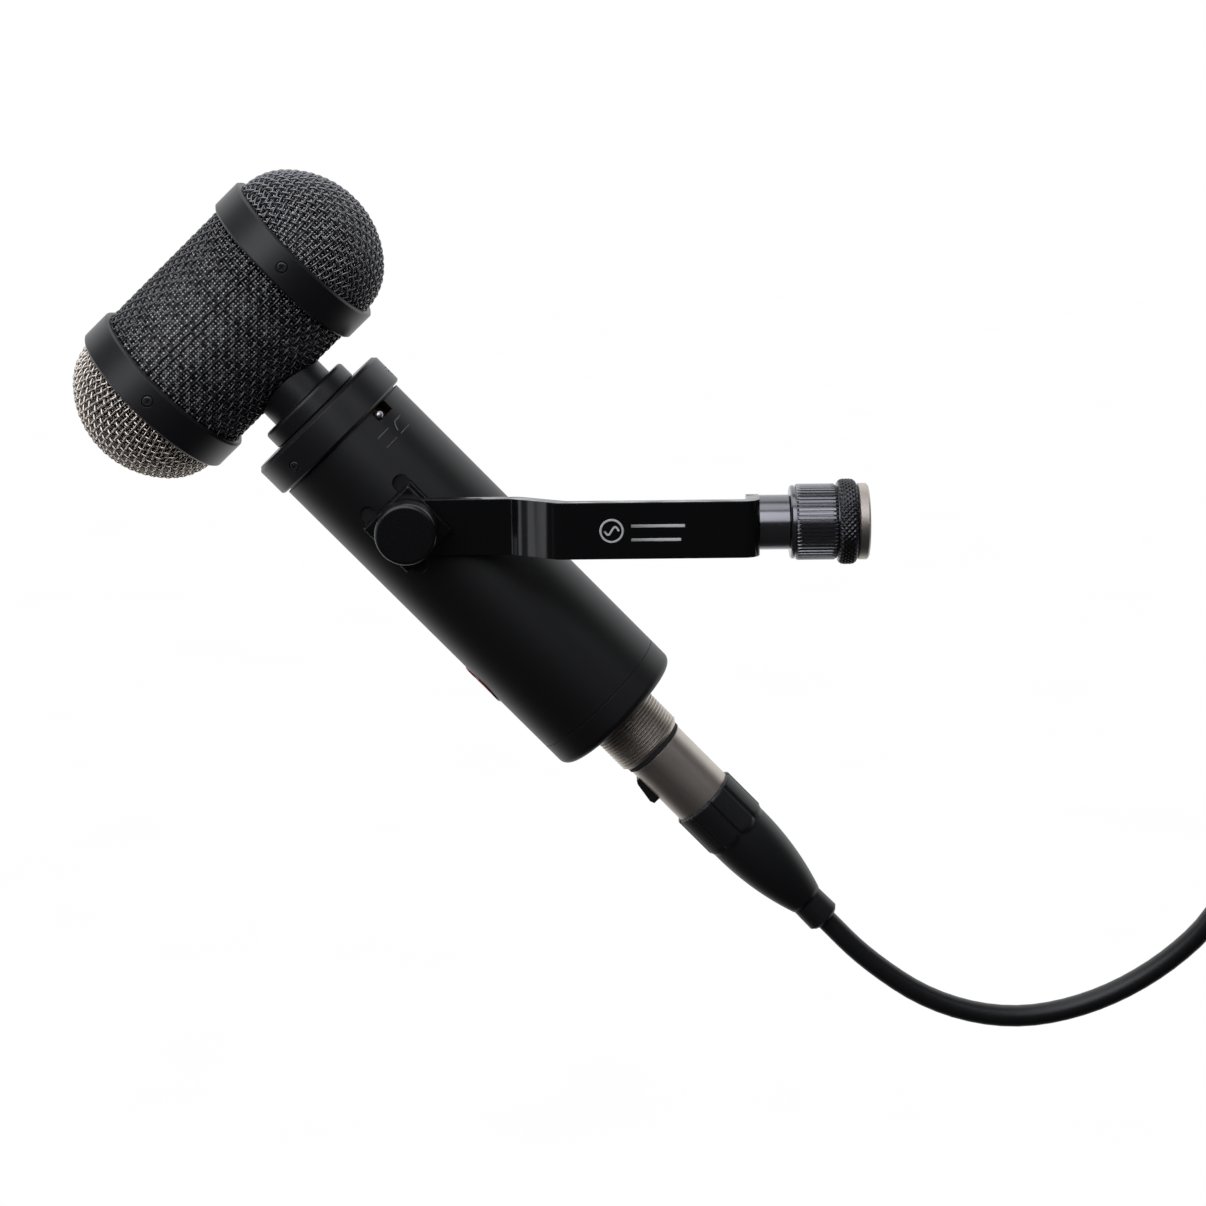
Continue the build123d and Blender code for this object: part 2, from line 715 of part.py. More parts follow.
def make_pivot_block():
    """The block in the pocket, the round hub through the arm and its square tenon."""
    half = POCKET_SIDE / 2 - FIT
    block = brick(-half, half, BASE_NEAR_Y, POCKET_FLOOR_Y, -half, half)
    block = chamfer(block.edges().group_by(Axis.Y)[0], 0.4)
    block += along_y(rod(HUB_RADIUS, 0, BASE_NEAR_Y + 0.5 - PLATE_FAR_Y), PLATE_FAR_Y)
    tenon = TENON_SIDE / 2
    block += brick(-tenon, tenon, PLATE_NEAR_Y + 0.1, PLATE_FAR_Y + 0.5, -tenon, tenon)
    block -= along_y(rod(STUD_RADIUS + RUNNING, 0, 11), -7)
    for x, z in pivot_screw_places():
        hole = rod(PIVOT_SCREW_RADIUS + FIT, 0, 12) + rod(2.1, 0, 1.65)
        block -= along_y(hole, BASE_NEAR_Y - 0.1, x, z)
    return block


def make_pivot_screws():
    screws = []
    for x, z in pivot_screw_places():
        screw = small_screw(2.0, 1.2, PIVOT_SCREW_RADIUS, 8.2)
        screws.append(along_y(Rot(180, 0, 0) * screw, BASE_NEAR_Y + 0.2, x, z))
    return Compound(screws)


def make_backing_plate():
    """The nut plate inside the tube that the pivot's screws pull against."""
    plate = brick(-8.4, 8.4, -18.8, -15.2, -8.4, 8.4)
    plate = plate & rod(BODY_BORE - FIT, -10, 10)
    for x, z in pivot_screw_places():
        plate -= along_y(rod(PIVOT_SCREW_RADIUS + FIT, 0, 12), -22, x, z)
    return plate


def make_friction_washers():
    washer = pipe(7.6, HUB_RADIUS + FIT, 0, WASHER_THICK)
    near = along_y(washer, PLATE_FAR_Y)
    far = along_y(washer, REAR_WASHER_NEAR)
    return Compound([near, far])


def make_clamp_plate():
    half = PLATE_SIDE / 2
    plate = brick(-half, half, PLATE_NEAR_Y, PLATE_FAR_Y - 0.02, -half, half)
    plate = fillet(plate.edges().filter_by(Axis.Y), 0.6)
    plate = chamfer(plate.edges().group_by(Axis.Y)[0], 0.35)
    tenon = TENON_SIDE / 2 + FIT
    return plate - brick(-tenon, tenon, -20, 0, -tenon, tenon)


def make_tilt_knob():
    knob = rod(KNOB_RADIUS, 0, KNOB_FAR_Y - KNOB_NEAR_Y)
    ends = knob.edges().filter_by(GeomType.CIRCLE).group_by(Axis.Z)
    knob = fillet(ends[0], 1.2)
    ends = knob.edges().filter_by(GeomType.CIRCLE).group_by(Axis.Z)
    knob = chamfer(ends[-1], 0.5)
    knob = along_y(knob, KNOB_NEAR_Y)
    return knob - along_y(rod(STUD_RADIUS + 0.6, 0, 10), KNOB_NEAR_Y + 3)


def make_knob_stud():
    """The stud moulded into the knob, with a broader anchor at its buried end."""
    stud = rod(STUD_RADIUS, 0, 14.2) + rod(STUD_RADIUS + 0.6, 0, KNOB_FAR_Y - KNOB_NEAR_Y - 3.2)
    return along_y(stud, KNOB_NEAR_Y + 3)


# ---------------------------------------------------------------- arm and stand coupling

BEND_INSIDE = 2.0
BEND_OUTSIDE = 5.4
FLANGE_BEND = 1.2
FLANGE_CORNER = 7.9


def round_bend(bar, x, y, radius):
    """Round the upright edge of the bar that stands at a corner of its plan."""
    edges = bar.edges().filter_by(Axis.Z)
    corner = [e for e in edges if abs(e.center().X - x) < 0.01 and abs(e.center().Y - y) < 0.01]
    return fillet(corner, radius)


def make_swivel_arm():
    """A flat bar with an eye at the microphone, an S-shaped crank and a flange at the stand."""
    near = ARM_NEAR_Y
    crank_near = ARM_NEAR_Y + ARM_OFFSET
    start = PIVOT_X + CRANK_FROM
    stop = PIVOT_X + CRANK_TO
    inner = FLANGE_OUT_X - ARM_THICK
    slant = ARM_THICK * 0.36
    outline = [
        (PIVOT_X, near),
        (start - slant, near),
        (stop - slant, crank_near),
        (FLANGE_OUT_X, crank_near),
        (FLANGE_OUT_X, FLANGE_FAR_Y),
        (inner, FLANGE_FAR_Y),
        (inner, crank_near + ARM_THICK),
        (stop + slant, crank_near + ARM_THICK),
        (start + slant, near + ARM_THICK),
        (PIVOT_X, near + ARM_THICK),
    ]
    face = make_face(Plane.XY * Polyline(*outline, close=True))
    bar = Pos(0, 0, -ARM_HEIGHT / 2) * extrude(face, ARM_HEIGHT, dir=(0, 0, 1))
    bar = round_bend(bar, start - slant, near, BEND_INSIDE)
    bar = round_bend(bar, start + slant, near + ARM_THICK, BEND_OUTSIDE)
    bar = round_bend(bar, stop - slant, crank_near, BEND_OUTSIDE)
    bar = round_bend(bar, stop + slant, crank_near + ARM_THICK, BEND_INSIDE)
    bar = round_bend(bar, FLANGE_OUT_X, crank_near, FLANGE_BEND + ARM_THICK - 0.1)
    bar = round_bend(bar, inner, crank_near + ARM_THICK, FLANGE_BEND)
    far_corners = [e for e in bar.edges().filter_by(Axis.X) if e.center().Y > FLANGE_FAR_Y - 0.01]
    bar = fillet(far_corners, FLANGE_CORNER)
    eye = along_y(rod(ARM_HEIGHT / 2, 0, ARM_THICK), near, PIVOT_X)
    bar += eye
    bar -= along_y(rod(HUB_RADIUS + RUNNING, 0, ARM_THICK + 4), near - 2, PIVOT_X)
    return bar - along_x(rod(STUD_RADIUS + FIT, -60, -20))


def make_neck_post():
    """The round post on the flange and the journal that the sleeve turns on."""
    post = turned([(0, FLANGE_OUT_X), (POST_RADIUS, FLANGE_OUT_X), (POST_RADIUS, SLEEVE_FROM - 0.4),
                   (POST_RADIUS - 0.3, SLEEVE_FROM - 0.1), (5.0, SLEEVE_FROM - 0.1),
                   (5.0, -17.5), (0, -17.5)])
    post -= rod(1.53, -23, -10)
    post -= rod(STUD_RADIUS + FIT, -40, -25)
    return along_x(post)


def make_flange_screw():
    """The screw that holds the post to the flange, from the inside of the bend."""
    top = FLANGE_OUT_X - ARM_THICK - 3.0
    head = rod(4.1, top, top + 3.0)
    head = fillet(head.edges().group_by(Axis.Z)[0], 0.5)
    socket = Pos(0, 0, top - 0.5) * extrude(RegularPolygon(2.3, 6), 2.3)
    return along_x(head + rod(STUD_RADIUS, top + 2.5, -25.3) - socket)


def make_swivel_screw():
    """A flanged screw in the journal's end that keeps the sleeve on."""
    flange = rod(7.2, -17.48, -16.3)
    screw = Pos(0, 0, -14.68) * small_screw(3.2, 1.9, 1.5, 7.6)
    return along_x(flange + screw)


def make_thread_sleeve():
    """The knurled barrel: a web on the journal, then a threaded bore for the adapter."""
    outer = SLEEVE_RADIUS
    outline = [
        (5.0 + RUNNING, SLEEVE_FROM), (outer - 0.7, SLEEVE_FROM), (outer, SLEEVE_FROM + 0.7),
        (outer, LOCK_FROM - 0.8), (outer - 0.6, LOCK_FROM - 0.2), (9.4, LOCK_FROM - 0.2),
        (9.4, ADAPTER_FROM - 0.2), (THREAD_RADIUS + FIT, ADAPTER_FROM - 0.2),
        (THREAD_RADIUS + FIT, -17.6), (5.0 + RUNNING, -17.6),
    ]
    return along_x(turned(outline))


def make_lock_ring():
    outline = [
        (9.4 + RUNNING, LOCK_FROM), (LOCK_RADIUS - 0.6, LOCK_FROM), (LOCK_RADIUS, LOCK_FROM + 0.6),
        (LOCK_RADIUS, ADAPTER_FROM - 0.9), (LOCK_RADIUS - 0.6, ADAPTER_FROM - 0.3),
        (9.4 + RUNNING, ADAPTER_FROM - 0.3),
    ]
    return along_x(turned(outline))


def make_thread_adapter():
    """The reducer: outer thread in the sleeve, inner thread for the stand, slotted flange."""
    outline = [
        (STUD_HOLE_RADIUS, -STUD_HOLE_DEPTH), (THREAD_RADIUS, -STUD_HOLE_DEPTH),
        (THREAD_RADIUS, ADAPTER_FROM), (ADAPTER_RADIUS - 0.4, ADAPTER_FROM),
        (ADAPTER_RADIUS, ADAPTER_FROM + 0.4), (ADAPTER_RADIUS, -0.5), (ADAPTER_RADIUS - 0.5, 0),
        (STUD_HOLE_RADIUS, 0),
    ]
    return along_x(turned(outline))


# ---------------------------------------------------------------- lead, coil and far plug

def corner_radii(route):
    """Arc radius at each inner point: as large as its two runs allow."""
    radii = []
    for before, here, after in zip(route, route[1:], route[2:]):
        first = Vector(*here) - Vector(*before)
        second = Vector(*after) - Vector(*here)
        turn = math.radians(first.get_angle(second))
        radii.append(0.45 * min(first.length, second.length) / math.tan(turn / 2))
    return radii


def make_lead(route, label):
    """A stretch of the lead: straight runs joined by tangent arcs."""
    radii = corner_radii(route)
    path = FilletPolyline(*route, radius=radii)
    start = Vector(*route[1]) - Vector(*route[0])
    section = Plane(origin=route[0], z_dir=start) * Circle(CABLE_RADIUS)
    lead = sweep(section, path=path)
    expected = math.pi * CABLE_RADIUS ** 2 * path.length
    print(label, "arc radii", [round(radius, 1) for radius in radii])
    print(label, round(path.length, 1), "mm, volume ratio", round(lead.volume / expected, 4))
    return lead


def make_lead_coil():
    """The outer shape of the wound lead: a rounded ring in the plane of the arm."""
    section = RectangleRounded(COIL_OUTER - COIL_INNER, 2 * COIL_HALF_DEPTH, 6.0)
    middle = (COIL_OUTER + COIL_INNER) / 2
    ring = revolve(Plane.XZ * Pos(middle, 0) * section, Axis.Z)
    return Pos(COIL_X, 0, COIL_Z) * Rot(90, 0, 0) * ring


def make_coil_strap():
    """A hook-and-loop strap that hangs the coil from the boom the microphone is held by."""
    radius = STRAP_LOOP_RADIUS
    side = COIL_HALF_DEPTH + 0.3
    shoulder = COIL_Z + COIL_OUTER + 1.5
    bottom = COIL_Z + COIL_INNER - 1.6
    arc = ThreePointArc((radius, 0), (0, radius), (-radius, 0))
    sides = Polyline((-radius, 0), (-side, shoulder), (-side, bottom),
                     (side, bottom), (side, shoulder), (radius, 0))
    inner = make_face(Plane.YZ * (arc + sides))
    outer = offset(inner, STRAP_THICK)
    band = extrude(outer, STRAP_HALF_WIDTH, both=True) - extrude(inner, STRAP_HALF_WIDTH, both=True)
    return Pos(COIL_X, 0, 0) * band


# ---------------------------------------------------------------- the lead's far plug

FAR_BARREL_TOP = -41.0    # heights below the boot's small end
FAR_BARREL_END = -75.0
FAR_BORE = 8.15


def far_plug(shape):
    return Pos(FAR_PLUG_X, FAR_PLUG_Y, FAR_PLUG_TOP) * shape


def make_far_boot():
    bore = CABLE_RADIUS + 0.02
    taper = ThreePointArc((5.0, -8.0), (7.6, -16.0), (9.3, -24.0))
    grip = ThreePointArc((9.3, -24.0), (9.9, -29.0), (10.1, -34.0))
    outline = Polyline((10.1, -34.0), (10.4, -34.8), (10.4, FAR_BARREL_TOP), (7.2, FAR_BARREL_TOP),
                       (7.2, -24.0), (bore, -20.0), (bore, 0), (5.2, 0), (5.2, -7.6), (5.0, -8.0))
    return far_plug(revolve(make_face(Plane.XZ * (outline + taper + grip)), Axis.Z))


def make_far_shell():
    """The line plug's barrel, open at its end."""
    barrel = turned([
        (7.25, FAR_BARREL_TOP - 0.05), (BARREL_RADIUS, FAR_BARREL_TOP - 0.05),
        (BARREL_RADIUS, FAR_BARREL_END + 0.4), (BARREL_RADIUS - 0.4, FAR_BARREL_END),
        (FAR_BORE, FAR_BARREL_END), (FAR_BORE, -59.0), (6.9, -59.0), (6.9, -48.0), (7.25, -48.0),
    ])
    return far_plug(barrel)


def make_far_insert():
    disc = rod(6.87, -60.0, -52.0) + rod(FAR_BORE - FIT, -61.5, -59.02)
    for angle in PIN_ANGLES:
        x = PIN_CIRCLE * math.cos(math.radians(angle))
        y = PIN_CIRCLE * math.sin(math.radians(angle))
        disc -= rod(PIN_RADIUS + FIT, -70, -50, x, y)
    return far_plug(disc)


def make_far_pins():
    pins = []
    for angle in PIN_ANGLES:
        x = PIN_CIRCLE * math.cos(math.radians(angle))
        y = PIN_CIRCLE * math.sin(math.radians(angle))
        pin = rod(PIN_RADIUS, -69.5, -50.0, x, y)
        pins.append(fillet(pin.edges().group_by(Axis.Z)[0], 0.8))
    return far_plug(Compound(pins))


def build_all():
    head_nodes = {
        "side_grille": make_side_grille(),
        "front_dome_grille": make_dome(-1),
        "rear_dome_grille": make_dome(1),
        "front_ring": make_ring(-1),
        "rear_ring": make_ring(1),
        "ring_screws": make_ring_screws(),
        "head_frame": make_head_frame(),
        "motor_yoke": make_motor_yoke(),
        "motor_magnets": make_magnets(),
        "pole_pieces": make_pole_pieces(),
        "ribbon": make_ribbon(),
        "ribbon_end_blocks": make_clamp_blocks(),
        "ribbon_clamps": make_ribbon_clamps(),
        "ribbon_clamp_screws": make_clamp_screws(),
        "motor_mounts": make_motor_mounts(),
    }
    body_nodes = {
        "neck": make_neck(),
        "collar": make_collar(),
        "collar_screws": make_collar_screws(),
        "body_tube": make_body_tube(),
        "badge": make_badge(),
        "bottom_cap": make_bottom_cap(),
        "chassis": make_chassis(),
        "circuit_board": make_circuit_board(),
        "transformer_core": make_transformer_core(),
        "transformer_winding": make_transformer_winding(),
        "switch_body": make_switch_body(),
        "switch_lever": make_switch_lever(),
        "backing_plate": make_backing_plate(),
    }
    output_nodes = {
        "socket_shell": make_socket_shell(),
        "socket_nut": make_socket_nut(),
        "socket_insert": make_socket_insert(),
        "socket_pins": make_socket_pins(),
        "plug_shell": make_plug_shell(),
        "plug_gasket": make_plug_gasket(),
        "plug_insert": make_plug_insert(),
        "latch_tab": make_latch_tab(),
        "plug_boot": make_plug_boot(),
        "plug_chuck": make_plug_chuck(),
        "plug_bushing": make_plug_bushing(),
    }
    pivot_nodes = {
        "pivot_block": make_pivot_block(),
        "pivot_screws": make_pivot_screws(),
        "friction_washers": make_friction_washers(),
        "clamp_plate": make_clamp_plate(),
        "tilt_knob": make_tilt_knob(),
        "knob_stud": make_knob_stud(),
    }
    stand_nodes = {
        "swivel_arm": make_swivel_arm(),
        "neck_post": make_neck_post(),
        "flange_screw": make_flange_screw(),
        "swivel_screw": make_swivel_screw(),
        "thread_sleeve": make_thread_sleeve(),
        "lock_ring": make_lock_ring(),
        "thread_adapter": make_thread_adapter(),
        "lead_tube": make_lead(LEAD_ROUTE, "lead"),
        "lead_coil": make_lead_coil(),
        "lead_tail": make_lead(TAIL_ROUTE, "tail"),
        "coil_strap": make_coil_strap(),
        "far_plug_boot": make_far_boot(),
        "far_plug_shell": make_far_shell(),
        "far_plug_insert": make_far_insert(),
        "far_plug_pins": make_far_pins(),
    }
    for group in (head_nodes, body_nodes, output_nodes):
        for name, shape in group.items():
            keep(name, on_mic(shape))
    for name, shape in pivot_nodes.items():
        keep(name, on_pivot(shape))
    for name, shape in stand_nodes.items():
        keep(name, shape)


build_all()
os.makedirs("parts", exist_ok=True)
for name, shape in PARTS.items():
    export_step(shape, f"parts/{name}.step")
print(len(PARTS), "nodes")
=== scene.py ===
import json
import math

import bpy
import numpy as np
from mathutils import Matrix, Vector


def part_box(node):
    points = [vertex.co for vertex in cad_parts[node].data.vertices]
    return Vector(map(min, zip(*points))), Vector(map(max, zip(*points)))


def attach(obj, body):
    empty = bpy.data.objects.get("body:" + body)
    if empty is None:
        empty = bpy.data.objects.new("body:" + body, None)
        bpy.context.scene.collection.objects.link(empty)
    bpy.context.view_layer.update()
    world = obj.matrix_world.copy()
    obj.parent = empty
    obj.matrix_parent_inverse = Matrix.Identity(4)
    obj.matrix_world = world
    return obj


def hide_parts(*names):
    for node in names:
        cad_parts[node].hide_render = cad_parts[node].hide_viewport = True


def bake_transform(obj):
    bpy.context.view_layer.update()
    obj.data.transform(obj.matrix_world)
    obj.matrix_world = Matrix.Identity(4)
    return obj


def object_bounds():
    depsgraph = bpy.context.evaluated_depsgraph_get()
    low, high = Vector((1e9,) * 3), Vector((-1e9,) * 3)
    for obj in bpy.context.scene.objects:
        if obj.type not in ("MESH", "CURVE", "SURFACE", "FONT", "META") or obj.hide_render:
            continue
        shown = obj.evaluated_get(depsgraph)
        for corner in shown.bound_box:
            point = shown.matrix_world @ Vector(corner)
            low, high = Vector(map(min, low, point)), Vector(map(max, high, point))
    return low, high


# The looks of a side-address microphone on its swivel arm.  Metres, in the frame of the CAD.
# Local frames come from the CAD itself: MIC stands on the microphone's axis with its origin at
# the tilt axis, Z towards the head and X towards the rear dome; HEAD lies along the head.

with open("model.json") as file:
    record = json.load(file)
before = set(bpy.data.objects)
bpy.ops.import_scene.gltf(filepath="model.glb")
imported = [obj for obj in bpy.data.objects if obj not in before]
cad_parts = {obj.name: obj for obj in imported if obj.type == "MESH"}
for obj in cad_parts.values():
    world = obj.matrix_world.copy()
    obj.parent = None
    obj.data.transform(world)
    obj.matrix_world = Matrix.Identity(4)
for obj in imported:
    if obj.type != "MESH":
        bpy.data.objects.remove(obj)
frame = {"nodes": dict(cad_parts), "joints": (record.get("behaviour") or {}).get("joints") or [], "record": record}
cad_low, cad_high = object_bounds()
MM = 0.001
NODES = frame["nodes"]
JOINTS = {joint["name"]: joint for joint in frame["joints"]}

scene = bpy.context.scene


# ---------------------------------------------------------------- local frames

def axes_frame(origin, x_axis, y_axis):
    """The matrix of a local frame, from its origin and two of its axes in the shared frame."""
    z_axis = x_axis.cross(y_axis)
    turn = Matrix((x_axis, y_axis, z_axis)).transposed()
    return Matrix.Translation(origin) @ turn.to_4x4()


def microphone_frame():
    """The frame MIC, from the tilt axis, the latch's direction and the middle of the tube."""
    pivot = Vector(JOINTS["tilt"]["pos_m"])
    rearwards = Vector(JOINTS["latch_press"]["axis"]).normalized()
    low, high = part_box("body_tube")
    origin = Vector((pivot.x, (low.y + high.y) / 2, pivot.z))
    return axes_frame(origin, rearwards, Vector((0, 1, 0)))


def reach(node, place):
    """Lowest and highest corner of a CAD node, measured in a local frame."""
    inward = np.array(place.inverted())
    points = np.array([vertex.co for vertex in NODES[node].data.vertices])
    local = points @ inward[:3, :3].T + inward[:3, 3]
    return Vector(local.min(0)), Vector(local.max(0))


MIC = microphone_frame()
LEAN = math.atan2(-MIC.col[2].x, MIC.col[2].z)
grille_low, grille_high = reach("side_grille", MIC)
HEAD_HEIGHT = (grille_low.z + grille_high.z) / 2
HEAD = MIC @ Matrix.Translation((0, 0, HEAD_HEIGHT)) @ Matrix.Rotation(math.pi / 2, 4, "Y")
STAND = Matrix.Rotation(math.pi / 2, 4, "Y")      # its Z runs along the arm


# ---------------------------------------------------------------- camera, light and floor

CAMERA_PLACE = Vector((-71.7, -688, 128.6)) * MM
CAMERA_PITCH = math.radians(8.79)                 # below the horizon
CAMERA_YAW = math.radians(0.23)
CAMERA_ROLL = math.radians(-0.67)
CAMERA_LENS = 73.9
CAMERA_SENSOR = 36
CAMERA_SHIFT = -0.13
CAMERA_CLIP = (0.05, 20)

LAMP_COLOUR = (0.93, 0.94, 1.0)
LAMPS = [        # name, place and target with X from the head, width, height and radiance
    ("front_box", (-0.17, -0.60, 0.46), (0.00, 0.0, 0.02), 0.95, 0.62, 2.2),
    ("top_box", (-0.15, -0.12, 0.85), (-0.02, 0.0, 0.00), 1.00, 0.80, 1.4),
    ("left_box", (-0.60, -0.33, 0.02), (0.05, 0.0, 0.02), 0.115, 0.55, 1.4),
    ("left_wall", (-0.75, -0.04, 0.05), (0.00, 0.0, 0.02), 0.40, 0.50, 1.1),
    ("right_box", (0.55, -0.42, 0.50), (-0.02, 0.0, 0.04), 0.30, 0.40, 1.0),
]
FLOOR_HALF = 6.0
FLOOR_DROP = 0.25                     # below the object's lowest point
SHADE_Y = -0.55                       # the middle of the floor's faint shade

# Smooth steps: where they start and stop, and their low and high values.
WORLD_RISE = (0.08, 0.50, 0.02, 1.1)  # the world's light, by its direction's Y
FLOOR_RISE = (0.0, 0.5, 0.02, 1.0)    # the floor's light, by Y
SHADE_RISE = (0.2, 0.85, 0.86, 1.0)   # the floor as seen, by distance from the shade's middle
PAPER_GRAIN = 90
PAPER_TONES = (0.985, 1.015)


def make_camera():
    data = bpy.data.cameras.new("camera")
    data.lens = CAMERA_LENS
    data.sensor_width = CAMERA_SENSOR
    data.shift_y = CAMERA_SHIFT
    data.clip_start, data.clip_end = CAMERA_CLIP
    camera = bpy.data.objects.new("camera", data)
    yaw = Matrix.Rotation(CAMERA_YAW, 4, "Z")
    pitch = Matrix.Rotation(math.pi / 2 - CAMERA_PITCH, 4, "X")
    roll = Matrix.Rotation(CAMERA_ROLL, 4, "Z")
    camera.matrix_world = Matrix.Translation(CAMERA_PLACE) @ yaw @ pitch @ roll
    scene.collection.objects.link(camera)
    scene.camera = camera


def make_softbox(name, place, target, width, height, radiance):
    """A rectangular light that the camera itself doesn't see."""
    data = bpy.data.lights.new(name, "AREA")
    data.shape = "RECTANGLE"
    data.size = width
    data.size_y = height
    data.energy = radiance * math.pi * width * height
    data.color = LAMP_COLOUR
    lamp = bpy.data.objects.new(name, data)
    lamp.location = place
    lamp.rotation_euler = (target - place).to_track_quat("-Z", "Y").to_euler()
    lamp.visible_camera = False
    scene.collection.objects.link(lamp)


def seen_and_lit(tree, seen, lit, output):
    """One shader for what the eye sees directly and another for light and reflections."""
    eye = tree.nodes.new("ShaderNodeLightPath")
    mix = tree.nodes.new("ShaderNodeMixShader")
    tree.links.new(eye.outputs["Is Camera Ray"], mix.inputs["Fac"])
    tree.links.new(lit, mix.inputs[1])
    tree.links.new(seen, mix.inputs[2])
    tree.links.new(mix.outputs[0], output)


def smooth_step(tree, value, start, stop, low=0.0, high=1.0):
    """A value turned into a smooth step, from low at the start to high at the stop."""
    node = tree.nodes.new("ShaderNodeMapRange")
    node.interpolation_type = "SMOOTHSTEP"
    node.inputs["From Min"].default_value = start
    node.inputs["From Max"].default_value = stop
    node.inputs["To Min"].default_value = low
    node.inputs["To Max"].default_value = high
    tree.links.new(value, node.inputs["Value"])
    return node.outputs["Result"]


def y_of(tree, coordinates):
    parts = tree.nodes.new("ShaderNodeSeparateXYZ")
    tree.links.new(coordinates, parts.inputs[0])
    return parts.outputs["Y"]


def make_world():
    """White all round for the eye; for the light, bright behind the object and dark elsewhere."""
    world = bpy.data.worlds.new("studio")
    world.use_nodes = True
    tree = world.node_tree
    nodes = tree.nodes
    shown = nodes["Background"]
    shown.inputs["Color"].default_value = (1, 1, 1, 1)
    shown.inputs["Strength"].default_value = 1.0
    lit = nodes.new("ShaderNodeBackground")
    lit.inputs["Color"].default_value = (0.97, 0.985, 1, 1)
    where = nodes.new("ShaderNodeTexCoord")
    behind = smooth_step(tree, y_of(tree, where.outputs["Generated"]), *WORLD_RISE)
    tree.links.new(behind, lit.inputs["Strength"])
    output = nodes["World Output"].inputs["Surface"]
    seen_and_lit(tree, shown.outputs[0], lit.outputs[0], output)
    scene.world = world


def make_stage():
    """A floor well below the object, and soft lights in front, above and on both sides."""
    make_world()
    aside = Vector((HEAD.col[3].x, 0, 0))
    for name, place, target, width, height, radiance in LAMPS:
        make_softbox(name, aside + Vector(place), aside + Vector(target), width, height, radiance)
    floor_mesh = bpy.data.meshes.new("floor")
    level = cad_low.z - FLOOR_DROP
    ways = ((-1, -1), (1, -1), (1, 1), (-1, 1))
    corners = [(x * FLOOR_HALF, y * FLOOR_HALF, level) for x, y in ways]
    floor_mesh.from_pydata(corners, [], [(0, 1, 2, 3)])
    floor = bpy.data.objects.new("floor", floor_mesh)
    floor.data.materials.append(floor_material())
    scene.collection.objects.link(floor)
    scene.view_settings.view_transform = "Standard"


def floor_material():
    """For the eye, white with a faint shade in front; for the light, bright only behind."""
    made = bpy.data.materials.new("floor_paper")
    made.use_nodes = True
    tree = made.node_tree
    nodes, links = tree.nodes, tree.links
    shader = nodes["Principled BSDF"]
    shader.inputs["Base Color"].default_value = (0.01, 0.01, 0.01, 1)
    shader.inputs["Roughness"].default_value = 0.9
    shader.inputs["Specular IOR Level"].default_value = 0.0
    shader.inputs["Emission Color"].default_value = (1, 1, 1, 1)
    place = nodes.new("ShaderNodeTexCoord").outputs["Object"]
    behind = smooth_step(tree, y_of(tree, place), *FLOOR_RISE)
    links.new(behind, shader.inputs["Emission Strength"])
    centre = nodes.new("ShaderNodeVectorMath")
    centre.operation = "DISTANCE"
    centre.inputs[1].default_value = (0.0, SHADE_Y, cad_low.z - FLOOR_DROP)
    links.new(place, centre.inputs[0])
    shade = smooth_step(tree, centre.outputs["Value"], *SHADE_RISE)
    grain = nodes.new("ShaderNodeTexNoise")
    grain.inputs["Scale"].default_value = PAPER_GRAIN
    strength = nodes.new("ShaderNodeMath")
    strength.operation = "MULTIPLY"
    links.new(shade, strength.inputs[0])
    links.new(ranged(made, grain.outputs["Fac"], *PAPER_TONES), strength.inputs[1])
    paper = nodes.new("ShaderNodeEmission")
    links.new(strength.outputs[0], paper.inputs["Strength"])
    output = nodes["Material Output"].inputs["Surface"]
    seen_and_lit(tree, paper.outputs[0], shader.outputs[0], output)
    return made


# ---------------------------------------------------------------- materials

MATERIALS = {}


def new_material(slot, colour, roughness, metallic=0.0, **sockets):
    """A Principled material under a record slot's name."""
    made = bpy.data.materials.new(slot)
    made.use_nodes = True
    shader = made.node_tree.nodes["Principled BSDF"]
    shader.inputs["Base Color"].default_value = (*colour, 1)
    shader.inputs["Roughness"].default_value = roughness
    shader.inputs["Metallic"].default_value = metallic
    for name, value in sockets.items():
        shader.inputs[name.replace("_", " ")].default_value = value
    MATERIALS[slot] = made
    return made


def noise_node(made, scale, stretch=(1, 1, 1), detail=2.0, turn=0.0):
    """Noise over the object's own coordinates, turned about Y and then stretched."""
    nodes, links = made.node_tree.nodes, made.node_tree.links
    where = nodes.new("ShaderNodeTexCoord")
    source = where.outputs["Object"]
    if turn:
        turned = nodes.new("ShaderNodeMapping")
        turned.inputs["Rotation"].default_value = (0, turn, 0)
        links.new(source, turned.inputs["Vector"])
        source = turned.outputs["Vector"]
    stretched = nodes.new("ShaderNodeMapping")
    stretched.inputs["Scale"].default_value = stretch
    links.new(source, stretched.inputs["Vector"])
    noise = nodes.new("ShaderNodeTexNoise")
    noise.inputs["Scale"].default_value = scale
    noise.inputs["Detail"].default_value = detail
    links.new(stretched.outputs["Vector"], noise.inputs["Vector"])
    return noise.outputs["Fac"]


def ranged(made, value, low, high):
    """A 0 to 1 value spread between two limits."""
    node = made.node_tree.nodes.new("ShaderNodeMapRange")
    node.inputs["To Min"].default_value = low
    node.inputs["To Max"].default_value = high
    made.node_tree.links.new(value, node.inputs["Value"])
    return node.outputs["Result"]


